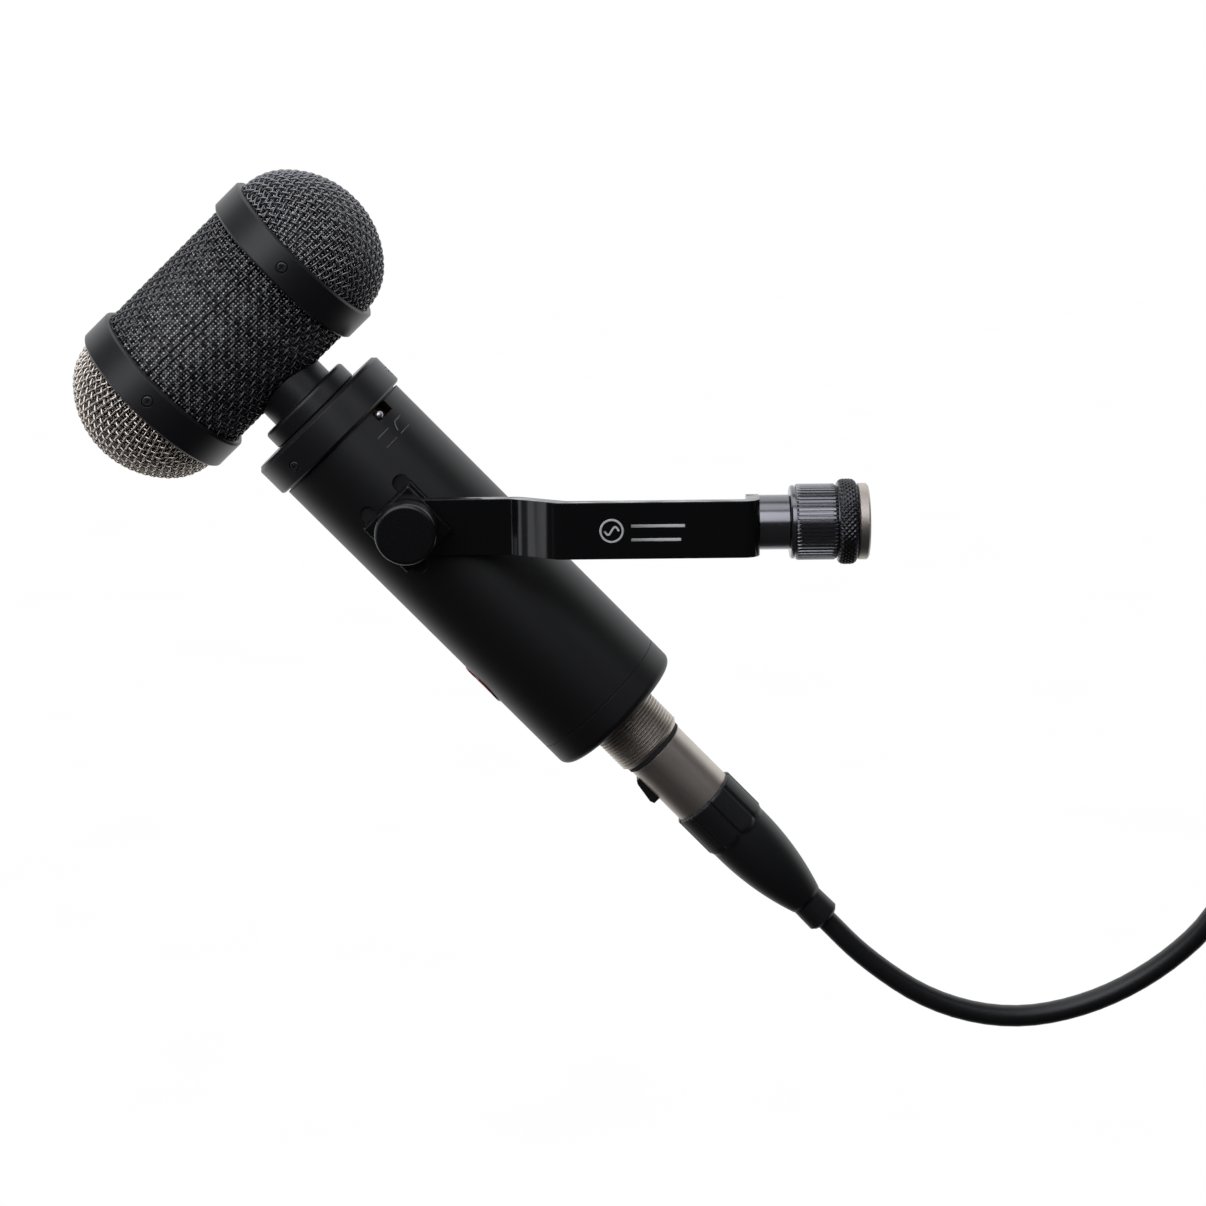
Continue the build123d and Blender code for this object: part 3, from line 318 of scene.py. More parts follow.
def tinted(made, value, colour, amount):
    """The base colour, lighter and darker by an amount as a value says."""
    node = made.node_tree.nodes.new("ShaderNodeMix")
    node.data_type = "RGBA"
    node.inputs["A"].default_value = (*[c * (1 - amount) for c in colour], 1)
    node.inputs["B"].default_value = (*[min(1, c * (1 + amount)) for c in colour], 1)
    made.node_tree.links.new(value, node.inputs["Factor"])
    shader = made.node_tree.nodes["Principled BSDF"]
    made.node_tree.links.new(node.outputs["Result"], shader.inputs["Base Color"])


def roughened(made, value, low, high):
    shader = made.node_tree.nodes["Principled BSDF"]
    made.node_tree.links.new(ranged(made, value, low, high), shader.inputs["Roughness"])


def bumped(made, value, depth, edge=0.0):
    """A bump of a real depth, with edges rounded by the shader where a radius is given."""
    nodes, links = made.node_tree.nodes, made.node_tree.links
    bump = nodes.new("ShaderNodeBump")
    bump.inputs["Strength"].default_value = 1.0
    bump.inputs["Distance"].default_value = depth
    links.new(value, bump.inputs["Height"])
    if edge:
        bevel = nodes.new("ShaderNodeBevel")
        bevel.inputs["Radius"].default_value = edge
        links.new(bevel.outputs["Normal"], bump.inputs["Normal"])
    links.new(bump.outputs["Normal"], nodes["Principled BSDF"].inputs["Normal"])


def coated(slot, colour, roughness, grain, depth, edge=0.0, spread=0.1, **sockets):
    """Paint, anodising, plastic or rubber: fine grain in its colour, gloss and surface."""
    made = new_material(slot, colour, roughness, **sockets)
    fine = noise_node(made, grain, detail=3)
    broad = noise_node(made, grain / 40)
    tinted(made, broad, colour, spread)
    roughened(made, fine, roughness * 0.9, roughness * 1.12)
    if depth:
        bumped(made, fine, depth, edge)
    return made


def turned_metal(slot, colour, roughness, lines, turn, depth=0.004 * MM, edge=0.0):
    """Metal with fine turning lines round its axis, which is Z after the turn about Y."""
    made = new_material(slot, colour, roughness, 1.0)
    rings = noise_node(made, 1.0, (60, 60, lines), 4, turn)
    broad = noise_node(made, 160, detail=3)
    tinted(made, broad, colour, 0.12)
    roughened(made, rings, roughness * 0.75, roughness * 1.3)
    if depth:
        bumped(made, rings, depth, edge)
    return made


def woven(slot, colour, roughness, pitch, depth, **sockets):
    """A fine over-and-under weave on the piece's unwrapped coordinates, which are in metres."""
    made = new_material(slot, colour, roughness, **sockets)
    nodes, links = made.node_tree.nodes, made.node_tree.links
    where = nodes.new("ShaderNodeTexCoord")
    waves = []
    for way in ("X", "Y"):
        wave = nodes.new("ShaderNodeTexWave")
        wave.bands_direction = way
        wave.inputs["Scale"].default_value = math.pi / 10 / pitch
        links.new(where.outputs["UV"], wave.inputs["Vector"])
        waves.append(wave.outputs["Fac"])
    both = nodes.new("ShaderNodeMath")
    both.operation = "MULTIPLY"
    links.new(waves[0], both.inputs[0])
    links.new(waves[1], both.inputs[1])
    tinted(made, both.outputs[0], colour, 0.6)
    bumped(made, both.outputs[0], depth)
    return made


GAUZE_PITCH = 1.0 * MM
GAUZE_DEPTH = 0.1 * MM
GAUZE_PAINTED_GLINT = (0.45, 0.70)              # the weave's height where a painted highlight dot starts and is full


def gauze():
    """Fine wire gauze: a white, barely metallic dot on each crossing as a painted highlight for its glints, and
    near-black gaps as painted shade.
    """
    made = woven("gauze", (0.10, 0.10, 0.10), 0.35, GAUZE_PITCH, GAUZE_DEPTH, metallic=0.1)
    tree = made.node_tree
    shader = tree.nodes["Principled BSDF"]
    glint_and_gap_paint = shader.inputs["Base Color"].links[0].from_node
    height = glint_and_gap_paint.inputs["Factor"].links[0].from_socket
    # Painted shade in the gaps (A) and painted highlight dots on the crossings (B).
    glint_and_gap_paint.inputs["A"].default_value = (0.001, 0.001, 0.001, 1)
    glint_and_gap_paint.inputs["B"].default_value = (1, 1, 1, 1)
    tree.links.new(smooth_step(tree, height, *GAUZE_PAINTED_GLINT), glint_and_gap_paint.inputs["Factor"])


ARM_WAVES = (140, 140, 4)             # noise scale along X and Y, and up Z
ARM_WAVE_DEPTH = 0.8 * MM


def arm_paint():
    """Glossy black paint, with a shallow bump chosen for its streaky reflections."""
    made = new_material("arm_black", (0.005, 0.005, 0.0055), 0.13)
    roughened(made, noise_node(made, 1500, detail=3), 0.11, 0.15)
    waves = noise_node(made, 1.0, ARM_WAVES, 1.0)
    bumped(made, waves, ARM_WAVE_DEPTH, 0.35 * MM)


def make_materials():
    """One material for each slot of the record."""
    coated("black_wire", (0.20, 0.20, 0.21), 0.24, 2500, 0.0, spread=0.3, metallic=0.9)
    # A darker copy of black_wire for the same wire on the head's side: painted shade.
    coated("side_wire_painted_shade", (0.10, 0.10, 0.105), 0.22, 2500, 0.0, spread=0.3, metallic=0.9)
    turned_metal("nickel_wire", (0.74, 0.67, 0.60), 0.24, 900, 0.0, 0.0)
    coated("ring_black", (0.008, 0.008, 0.010), 0.38, 5200, 0.003 * MM, 0.3 * MM)
    coated("body_black", (0.004, 0.004, 0.0045), 0.44, 5200, 0.004 * MM, 0.25 * MM)
    coated("screw_black", (0.05, 0.05, 0.052), 0.25, 4000, 0.001 * MM, 0.15 * MM, metallic=0.6)
    coated("cast_grey", (0.17, 0.17, 0.17), 0.6, 1500, 0.03 * MM, metallic=0.6)
    coated("soft_iron", (0.30, 0.30, 0.31), 0.45, 2500, 0.006 * MM, metallic=1.0)
    coated("magnet_grey", (0.22, 0.22, 0.23), 0.3, 3000, 0.004 * MM, metallic=1.0)
    coated("foil", (0.86, 0.86, 0.87), 0.22, 6000, 0.002 * MM, metallic=1.0)
    coated("insulator", (0.10, 0.04, 0.02), 0.5, 2500, 0.006 * MM)
    turned_metal("brass_bright", (0.75, 0.55, 0.25), 0.25, 6000, -LEAN)
    coated("steel", (0.50, 0.50, 0.51), 0.35, 3000, 0.004 * MM, metallic=1.0)
    coated("rubber_black", (0.014, 0.014, 0.014), 0.75, 2500, 0.008 * MM)
    coated("badge_red", (0.30, 0.012, 0.016), 0.28, 900, 0.002 * MM, 0.1 * MM, Coat_Weight=0.6)
    coated("board_green", (0.012, 0.10, 0.035), 0.35, 1800, 0.01 * MM, spread=0.4)
    turned_metal("copper_wire", (0.62, 0.26, 0.12), 0.3, 5000, -LEAN)
    arm_paint()
    coated("knob_black", (0.004, 0.004, 0.0045), 0.27, 4200, 0.0005 * MM, 0.35 * MM)
    # A darker copy of knurl_black for the lock ring's knurling: painted shade.
    coated("ring_knurl_painted_shade", (0.06, 0.06, 0.065), 0.24, 2600, 0.0, metallic=0.9)
    coated("knurl_black", (0.22, 0.22, 0.235), 0.20, 2600, 0.0, metallic=0.95)
    coated("nylon_white", (0.72, 0.71, 0.68), 0.5, 2200, 0.004 * MM)
    turned_metal("nickel", (0.56, 0.51, 0.46), 0.42, 9000, -LEAN, edge=0.15 * MM)
    coated("boot_black", (0.009, 0.009, 0.010), 0.42, 3200, 0.008 * MM, 0.15 * MM)
    coated("lead_black", (0.009, 0.009, 0.010), 0.40, 2400, 0.006 * MM)
    woven("strap_black", (0.016, 0.016, 0.018), 0.85, 0.9 * MM, 0.25 * MM, Sheen_Weight=0.3)
    gauze()
    coated("mark_grey", (0.62, 0.62, 0.60), 0.5, 2500, 0.004 * MM)
    coated("mark_dark", (0.09, 0.09, 0.095), 0.35, 2500, 0.004 * MM)


def dress_cad_nodes():
    """Give every CAD node the material of its slot in the record."""
    for part in frame["record"]["subparts"]:
        node = NODES[part["node"]]
        node.data.materials.clear()
        node.data.materials.append(MATERIALS[part["material_slot"]])


# ---------------------------------------------------------------- mesh building

class Bag:
    """Points and faces gathered for one mesh."""

    def __init__(self):
        self.points = []
        self.faces = []
        self.spread = []
        self.count = 0

    def add_grid(self, grid, wrap_rows, wrap_columns, spread=None):
        """Add a grid of points, joined by quads; spread gives each point's flat coordinates."""
        rows, columns = grid.shape[:2]
        index = np.arange(rows * columns).reshape(rows, columns) + self.count
        if wrap_rows:
            index = np.vstack([index, index[:1]])
        if wrap_columns:
            index = np.hstack([index, index[:, :1]])
        quads = np.stack([index[:-1, :-1], index[:-1, 1:], index[1:, 1:], index[1:, :-1]], -1)
        self.points.append(grid.reshape(-1, 3))
        self.faces += quads.reshape(-1, 4).tolist()
        if spread is not None:
            self.spread.append(spread.reshape(-1, 2))
        self.count += rows * columns

    def add_strand(self, path, outward, radius, sides, closed=False, flat=1.0):
        """Add a wire along a path; outward is the surface's normal at each of its points."""
        path = np.asarray(path, float)
        outward = np.asarray(outward, float)
        if closed:
            ahead = np.roll(path, -1, 0) - np.roll(path, 1, 0)
        else:
            ahead = np.gradient(path, axis=0)
        ahead /= np.linalg.norm(ahead, axis=1)[:, None]
        normal = outward - (outward * ahead).sum(1)[:, None] * ahead
        normal /= np.linalg.norm(normal, axis=1)[:, None]
        side = np.cross(ahead, normal)
        angles = np.arange(sides) * 2 * math.pi / sides
        across = side[:, None] * np.sin(angles)[None, :, None]
        upwards = normal[:, None] * flat * np.cos(angles)[None, :, None]
        grid = path[:, None] + radius * (upwards + across)
        first = self.count
        self.add_grid(grid, closed, True)
        if not closed:
            last = self.count - sides
            self.faces.append(list(range(first, first + sides)))
            self.faces.append(list(range(last + sides - 1, last - 1, -1)))

    def piece(self, name, place, body, slot, stands_for=(), material=None, crease=0.0):
        """The finished object, riding on a body; edges sharper than the crease stay sharp."""
        mesh = bpy.data.meshes.new(name)
        mesh.from_pydata(np.concatenate(self.points).tolist(), [], self.faces)
        if self.spread:
            flat = np.concatenate(self.spread)
            layer = mesh.uv_layers.new(name="flat")
            corners = np.zeros(len(mesh.loops), np.int32)
            mesh.loops.foreach_get("vertex_index", corners)
            layer.data.foreach_set("uv", flat[corners].astype(np.float32).ravel())
        mesh.transform(place)
        mesh.shade_smooth()
        if crease:
            mesh.set_sharp_from_angle(angle=crease)
        made = bpy.data.objects.new(name, mesh)
        scene.collection.objects.link(made)
        made.data.materials.append(MATERIALS[material or slot])
        if body:
            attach(made, body)
        if stands_for:
            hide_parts(*stands_for)
        return made


def parallel_normals(path):
    """A normal carried along a path without twist."""
    ahead = np.gradient(path, axis=0)
    ahead /= np.linalg.norm(ahead, axis=1)[:, None]
    normal = np.cross(ahead[0], (0, 1, 0))
    normals = []
    for way in ahead:
        normal = normal - (normal @ way) * way
        normal /= np.linalg.norm(normal)
        normals.append(normal)
    return np.array(normals)


def spline_points(route, resolution, closed=False):
    """Points along a NURBS spline that has the route as its control points."""
    curve = bpy.data.curves.new("route", "CURVE")
    curve.dimensions = "3D"
    curve.resolution_u = resolution
    spline = curve.splines.new("NURBS")
    spline.points.add(len(route) - 1)
    for point, place in zip(spline.points, route):
        point.co = (*place, 1)
    spline.order_u = 3
    spline.use_cyclic_u = closed
    spline.use_endpoint_u = not closed
    holder = bpy.data.objects.new("route", curve)
    scene.collection.objects.link(holder)
    bpy.context.view_layer.update()
    line = bpy.data.meshes.new_from_object(holder)
    points = np.array([vertex.co for vertex in line.vertices])
    bpy.data.objects.remove(holder)
    bpy.data.curves.remove(curve)
    bpy.data.meshes.remove(line)
    return points


def revolved(bag, outline, columns, change):
    """Turn a closed outline of (radius, height) about Z; change gives a growth of the radius."""
    outline = np.array(outline, float)
    angles = np.arange(columns) * 2 * math.pi / columns
    angle, radius = np.meshgrid(angles, outline[:, 0])
    height = np.repeat(outline[:, 1:], columns, 1)
    radius = radius + change(angle, height, radius)
    grid = np.stack([radius * np.cos(angle), radius * np.sin(angle), height], -1)
    bag.add_grid(grid, True, True)


# ---------------------------------------------------------------- the lead

LEAD_ROUTE = [
    (-9.6, 24.0, -125.5),
    (2.4, 24.0, -138.1),
    (22.5, 24.2, -152.3),
    (46.5, 24.5, -158.2),
    (70.5, 24.3, -153.6),
    (92.0, 22.6, -141.0),
    (108.5, 18.6, -122.0),
    (115.2, 13.2, -92.0),
]
TAIL_ROUTE = [
    (204.1, -10.2, -77.0),
    (212.0, -11.4, -97.0),
    (212.0, -11.4, -114.0),
]
CABLE_DIAMETER = 6.4
COIL_CENTRE = (160.0, -62.0)          # X and Z
COIL_RADII = (43.9, 37.5, 31.1)
COIL_LAYERS = (9.6, 3.2, -3.2, -9.6)
POINTS_A_TURN = 18
CROSSING = 340.0                      # where each turn steps to the next place, in degrees
CROSSING_HALF = 20.0
CROSSING_BULGE = 2.0                  # of the radius, where a turn only changes its layer
LEAD_SIDES = 16
INSERTED = 5 * MM                     # how far the lead goes on inside each plug's end


def coil_places():
    """The (radius, Y) of each turn: inwards in one layer and outwards in the next."""
    places = []
    for number, layer in enumerate(COIL_LAYERS):
        radii = COIL_RADII if number % 2 == 0 else COIL_RADII[::-1]
        places += [(radius, layer) for radius in radii]
    return places


def coil_points():
    """Control points of a neat coil, from its left side upwards to its right side downwards."""
    places = coil_places()
    outset = 1 / math.cos(math.pi / POINTS_A_TURN)
    count = int((len(places) - 0.5) * POINTS_A_TURN)
    points = []
    for number in range(count + 1):
        angle = number * 360.0 / POINTS_A_TURN
        turn, within = divmod(angle - CROSSING - CROSSING_HALF, 360.0)
        index = int(turn) + 1
        share = min(1.0, max(0.0, (within - 360.0 + 2 * CROSSING_HALF) / (2 * CROSSING_HALF)))
        share = share * share * (3 - 2 * share)
        radius, y = places[index]
        next_radius, next_y = places[min(index + 1, len(places) - 1)]
        bulge = 0.0
        if next_radius == radius:
            outwards = 1 if radius == max(COIL_RADII) else -1
            bulge = math.sin(math.pi * share) * CROSSING_BULGE * outwards
        radius = (radius + (next_radius - radius) * share + bulge) * outset
        y = y + (next_y - y) * share
        x = COIL_CENTRE[0] - radius * math.cos(math.radians(angle))
        z = COIL_CENTRE[1] + radius * math.sin(math.radians(angle))
        points.append((x, y, z))
    return points


def lead_route():
    """The lead's control points, from inside the bushing to inside the far plug's boot."""
    bushing_low, _ = reach("plug_bushing", MIC)
    inside = MIC @ Vector((0, 0, bushing_low.z + INSERTED))
    boot_low, boot_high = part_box("far_plug_boot")
    middle = (boot_low + boot_high) / 2
    end = Vector((middle.x, middle.y, boot_high.z - INSERTED))
    hand = [Vector(point) * MM for point in LEAD_ROUTE]
    coil = [Vector(point) * MM for point in coil_points()]
    tail = [Vector(point) * MM for point in TAIL_ROUTE]
    return [inside, *hand, *coil, *tail, end]


def make_lead():
    """The lead as one round cable, blended from the microphone to the coil on the arm."""
    path = spline_points(lead_route(), 5)
    bag = Bag()
    radius = CABLE_DIAMETER / 2 * MM
    bag.add_strand(path, parallel_normals(path), radius, LEAD_SIDES)
    lead = bag.piece("lead", Matrix.Identity(4), None, "lead_black",
                     ("lead_tube", "lead_coil", "lead_tail"))
    bushing_low, _ = reach("plug_bushing", MIC)
    leaves = MIC @ Vector((0, 0, bushing_low.z))
    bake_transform(lead)
    return lead, path, leaves


# ---------------------------------------------------------------- woven grilles

MESH_PITCH = 2.2 * MM
WIRE_RADIUS = 0.30 * MM
WIRE_SIDES = 7
SAMPLES = 5                           # points between two crossings
SHOULDER_RADIUS = 17.0 * MM           # the domes' edge rounding
LINER_THICK = 0.12 * MM
SIDE_LINER_COLUMNS = 128
DOME_LINER_COLUMNS = 96
DOME_LINER_ROWS = 40
POLE = 0.0005 * MM                    # a dome's liner starts this far from its pole


def weave_wave(position, parity):
    """Height of a wire over the cloth's middle: up at every other crossing."""
    return WIRE_RADIUS * np.cos(math.pi * (position + parity))


def make_side_weave():
    """The woven tube between the rings, in hoops and straight wires."""
    low, high = reach("side_grille", HEAD)
    outer = high.y
    middle = outer - 2 * WIRE_RADIUS
    along = 2 * round(math.pi * middle / MESH_PITCH)
    hoops = round((high.z - low.z) / MESH_PITCH)
    step = (high.z - low.z) / hoops
    bag = Bag()
    turns = np.arange(along * SAMPLES) / SAMPLES
    angle = turns * 2 * math.pi / along
    for hoop in range(hoops):
        radius = middle + weave_wave(turns, hoop)
        height = np.full_like(angle, low.z + (hoop + 0.5) * step)
        outward = np.stack([np.cos(angle), np.sin(angle), 0 * angle], 1)
        path = outward * radius[:, None]
        path[:, 2] = height
        bag.add_strand(path, outward, WIRE_RADIUS, WIRE_SIDES, True)
    rows = np.arange(-0.5, hoops - 0.5 + 0.5 / SAMPLES, 1 / SAMPLES)
    for wire in range(along):
        way = 2 * math.pi * wire / along
        radius = middle - weave_wave(rows, wire)
        outward = np.tile([math.cos(way), math.sin(way), 0.0], (len(rows), 1))
        path = outward * radius[:, None]
        path[:, 2] = low.z + (rows + 0.5) * step
        bag.add_strand(path, outward, WIRE_RADIUS, WIRE_SIDES)
    # The side's wires take the darker copy of the wire material: painted shade.
    bag.piece("side_weave", HEAD, "microphone", "black_wire", ("side_grille",),
              material="side_wire_painted_shade")
    return outer, low.z, high.z


def make_side_liner(outer, low, high):
    """The fine gauze tube behind the woven side."""
    radius = outer - 4 * WIRE_RADIUS - LINER_THICK
    inner = radius - LINER_THICK
    start, stop = low + MM, high - MM
    angle = np.linspace(0, 2 * math.pi, SIDE_LINER_COLUMNS + 1)
    bag = Bag()
    rows = [(radius, start), (radius, stop), (inner, stop), (inner, start), (radius, start)]
    grid = np.array([[(r * math.cos(a), r * math.sin(a), z) for a in angle] for r, z in rows])
    spread = np.array([[(a * radius, z) for a in angle] for r, z in rows])
    bag.add_grid(grid, False, False, spread)
    bag.piece("side_liner", HEAD, "microphone", "black_wire", material="gauze")


class Dome:
    """The surface of an end grille, measured along its slope from the pole."""

    def __init__(self, radius, height, inset):
        offset = radius - SHOULDER_RADIUS
        rise = height - SHOULDER_RADIUS
        crown = (offset ** 2 + height ** 2 - SHOULDER_RADIUS ** 2) / (2 * rise)
        self.offset = offset
        self.drop = crown - height
        self.crown = crown - inset
        self.shoulder = SHOULDER_RADIUS - inset
        self.bend = math.atan2(offset, self.drop)
        self.crown_length = self.crown * self.bend
        self.full = self.crown_length + self.shoulder * (math.pi / 2 - self.bend)

    def at(self, slope):
        """Radius, height and normal's slant at a distance from the pole."""
        on_crown = slope / self.crown
        on_shoulder = self.bend + (slope - self.crown_length) / self.shoulder
        slant = np.where(slope < self.crown_length, on_crown, on_shoulder)
        slant = np.minimum(slant, math.pi / 2)
        radius = np.where(slope < self.crown_length, self.crown * np.sin(slant),
                          self.offset + self.shoulder * np.sin(slant))
        height = np.where(slope < self.crown_length, self.crown * np.cos(slant) - self.drop,
                          self.shoulder * np.cos(slant))
        height = height - np.maximum(slope - self.full, 0)
        return radius, height, slant


def make_dome(name, node, ring, slot, sign):
    """An end grille pressed from flat wire cloth, with its liner."""
    low, high = reach(node, HEAD)
    ring_low, ring_high = reach(ring, HEAD)
    edge = max(abs(ring_low.z), abs(ring_high.z))
    tip = max(abs(low.z), abs(high.z))
    skirt = edge - min(abs(low.z), abs(high.z))
    outer = high.y
    place = HEAD if sign > 0 else HEAD @ Matrix.Rotation(math.pi, 4, "Y")
    dome = Dome(outer, tip - edge, 2 * WIRE_RADIUS)
    size = dome.full + skirt
    count = int(size / MESH_PITCH)
    bag = Bag()
    for family in (0, 1):
        for wire in range(-count, count + 1):
            u = (wire + 0.5) * MESH_PITCH
            if abs(u) >= size - MESH_PITCH / 2:
                continue
            reach_v = math.sqrt(size ** 2 - u ** 2)
            v = np.linspace(-reach_v, reach_v, max(8, int(2 * reach_v / MESH_PITCH * SAMPLES)))
            slope = np.hypot(u, v)
            radius, height, slant = dome.at(slope)
            flat = (u / slope, v / slope) if family == 0 else (v / slope, u / slope)
            lift = weave_wave(v / MESH_PITCH - 0.5, wire) * (-1 if family else 1)
            tilt = np.sin(slant)
            outward = np.stack([flat[0] * tilt, flat[1] * tilt, np.cos(slant)], 1)
            path = np.stack([flat[0] * radius, flat[1] * radius, height + edge], 1)
            path = path + outward * lift[:, None]
            bag.add_strand(path, outward, WIRE_RADIUS, WIRE_SIDES)
    bag.piece(name + "_weave", place, "microphone", slot, (node,))
    make_dome_liner(name + "_liner", outer, tip, edge, skirt, place)


def make_dome_liner(name, outer, tip, edge, skirt, place):
    """A thin cup of fine gauze inside an end grille."""
    rows = []
    for inset in (4 * WIRE_RADIUS + LINER_THICK, 4 * WIRE_RADIUS + 2 * LINER_THICK):
        dome = Dome(outer, tip - edge, inset)
        slope = np.linspace(POLE, dome.full + skirt, DOME_LINER_ROWS)
        radius, height, _ = dome.at(slope)
        layer = list(zip(radius, height + edge, slope))
        rows += layer if not rows else layer[::-1]
    rows.append(rows[0])
    angle = np.linspace(0, 2 * math.pi, DOME_LINER_COLUMNS + 1)
    grid = np.array([[(r * math.cos(a), r * math.sin(a), z) for a in angle] for r, z, _ in rows])
    spread = np.array([[(s * math.cos(a), s * math.sin(a)) for a in angle] for _, _, s in rows])
    bag = Bag()
    bag.add_grid(grid, False, False, spread)
    bag.piece(name, place, "microphone", "black_wire", material="gauze")


# ---------------------------------------------------------------- knurled pieces at the stand

FLUTES = 56
KNURL_CREASE = math.radians(28)
FLUTE_DEPTH = 0.35 * MM
FLUTE_CREST = 0.55                    # share of each pitch that stays at full height
FLUTE_WALL = 0.16
FLUTE_ROWS = 12
SLEEVE_BORE = 5.1 * MM                # round the post's journal
ADAPTER_BORE = 8.0 * MM               # for the stand adapter, up to the sleeve's web
WEB_FACE_X = -17.6 * MM
SLEEVE_NECK = 9.4 * MM                # inside the lock ring
DIAMONDS = 46
DIAMOND_DEPTH = 0.3 * MM
RING_BORE = 9.46 * MM
RING_ROWS = 40
RING_CHAMFER = 0.35 * MM
RING_CROWN = 0.5 * MM                 # how much lower the rim is at its two edges
COLUMNS_A_CUT = 12                    # mesh columns to each flute or diamond


def make_knurled_barrel():
    """The barrel's straight flutes, between a plain collar and a chamfer."""
    low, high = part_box("thread_sleeve")
    ring_low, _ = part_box("lock_ring")
    radius = high.y
    start = low.x
    collar = start + 1.2 * MM
    stop = ring_low.x - 0.2 * MM
    shallow = radius - 0.35 * MM
    groove = radius - 0.9 * MM
    outline = [(SLEEVE_BORE, start), (radius - 0.8 * MM, start), (shallow, start + 0.35 * MM),
               (shallow, collar - 0.1 * MM), (groove, collar),
               (groove, collar + 0.25 * MM), (shallow, collar + 0.35 * MM)]
    first = collar + 0.8 * MM
    last = stop - 0.9 * MM
    outline += [(radius, z) for z in np.linspace(first, last, FLUTE_ROWS)]
    outline += [(radius - 0.55 * MM, stop - 0.15 * MM), (radius - 0.7 * MM, stop),
                (SLEEVE_NECK, stop), (SLEEVE_NECK, high.x), (ADAPTER_BORE, high.x),
                (ADAPTER_BORE, WEB_FACE_X), (SLEEVE_BORE, WEB_FACE_X)]

    def flutes(angle, height, across):
        beside = np.abs((FLUTES * angle / (2 * math.pi)) % 1.0 - 0.5) * 2
        cut = np.clip((FLUTE_CREST - beside) / -FLUTE_WALL, 0, 1)
        return -FLUTE_DEPTH * cut * (across >= radius - 0.01 * MM)

    bag = Bag()
    revolved(bag, outline, FLUTES * COLUMNS_A_CUT, flutes)
    bag.piece("fluted_barrel", STAND, "sleeve", "knurl_black", ("thread_sleeve",),
              crease=KNURL_CREASE)


def make_knurled_ring():
    """The lock ring, with crossed knurling on a crowned rim."""
    low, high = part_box("lock_ring")
    radius = high.y
    heights = np.linspace(low.x + RING_CHAMFER, high.x - RING_CHAMFER, RING_ROWS)
    middle = (low.x + high.x) / 2
    half = heights[-1] - middle
    crown = radius - RING_CROWN * ((heights - middle) / half) ** 4
    outline = [(RING_BORE, low.x), (radius - 1.0 * MM, low.x)]
    outline += list(zip(crown, heights))
    outline += [(radius - 1.0 * MM, high.x), (RING_BORE, high.x)]
    pitch = 2 * math.pi * radius / DIAMONDS

    def diamonds(angle, height, across):
        lean = 2 * math.pi * (height - middle) / pitch
        one = np.abs(((DIAMONDS * angle + lean) / (2 * math.pi)) % 1.0 - 0.5) * 2
        other = np.abs(((DIAMONDS * angle - lean) / (2 * math.pi)) % 1.0 - 0.5) * 2
        rise = np.minimum(1, 1.35 * np.minimum(one, other))
        return -DIAMOND_DEPTH * (1 - rise) * (across > radius - 0.9 * MM)

    bag = Bag()
    revolved(bag, outline, DIAMONDS * COLUMNS_A_CUT, diamonds)
    # The ring takes the darker copy of the knurl material: painted shade.
    bag.piece("knurled_ring", STAND, "lock_ring", "knurl_black", ("lock_ring",),
              material="ring_knurl_painted_shade", crease=KNURL_CREASE)


# ---------------------------------------------------------------- ribbed boots of the two plugs

PANELS = 9
PANEL_LENGTH = 15.0 * MM
PANEL_DEPTH = 0.6 * MM
PANEL_COLUMNS = 30
GRIP_ROWS = 24
TAPER_ROWS = 22
PANEL_EDGE = 0.90                     # share of its half width where a panel's side starts
PANEL_SIDE = 0.07                     # the side's own share
PANEL_END = 0.9 * MM                  # length of the slope at a panel's end
PANEL_END_CURVE = 0.10
GRIP_RADIUS = 10.4 * MM
GRIP_BELOW = 0.8 * MM                 # the grip goes on past its panels by this much
BOOT_CHAMFER = 0.5 * MM
SMALL_END_RADIUS = 5.4 * MM
TAPER_POWER = 2.1
CHUCK_RADIUS = 7.35 * MM              # the boot's hollow, and its wider mouth
CHUCK_SHARES = (0.54, 0.61)           # of the length, where the hollow widens from the bore
MOUTH_RADIUS = 8.35 * MM
MOUTH_DEPTH = 6.5 * MM


def ribbed(top):
    """The growth of a boot's radius: grooves between long panels with rounded ends."""
    def change(angle, height, across):
        down = top - height
        beside = np.abs(((angle * PANELS / (2 * math.pi)) % 1.0) - 0.5) * 2
        end = PANEL_LENGTH * (1 - PANEL_END_CURVE * beside ** 2)
        on_panel = np.clip((PANEL_EDGE - beside) / PANEL_SIDE, 0, 1)
        before_end = np.clip((end - down) / PANEL_END, 0, 1)
        outside = (across > 8.6 * MM) & (down > -0.01 * MM) & (down < PANEL_LENGTH + 1.5 * MM)
        return np.where(outside, -PANEL_DEPTH * (1 - on_panel * before_end), 0.0)
    return change


def boot_outline(top, end, bore):
    """A boot's closed outline: a straight grip, then a long convex taper to its small end."""
    length = top - end
    low = top - PANEL_LENGTH - GRIP_BELOW
    shape = [(GRIP_RADIUS, z) for z in np.linspace(top - BOOT_CHAMFER, low, GRIP_ROWS)]
    shoulder = GRIP_RADIUS - PANEL_DEPTH
    narrowing = SMALL_END_RADIUS - shoulder
    share = np.linspace(0.0, 1.0, TAPER_ROWS)[1:]
    taper = [(shoulder + narrowing * s ** TAPER_POWER, low + (end - low) * s) for s in share]
    mouth = top - MOUTH_DEPTH
    bore_end, hollow = (end + length * part for part in CHUCK_SHARES)
    inner = [(bore, end), (bore, bore_end), (CHUCK_RADIUS, hollow),
             (CHUCK_RADIUS, mouth), (MOUTH_RADIUS, mouth), (MOUTH_RADIUS, top)]
    return inner + [(GRIP_RADIUS - BOOT_CHAMFER, top)] + shape + taper


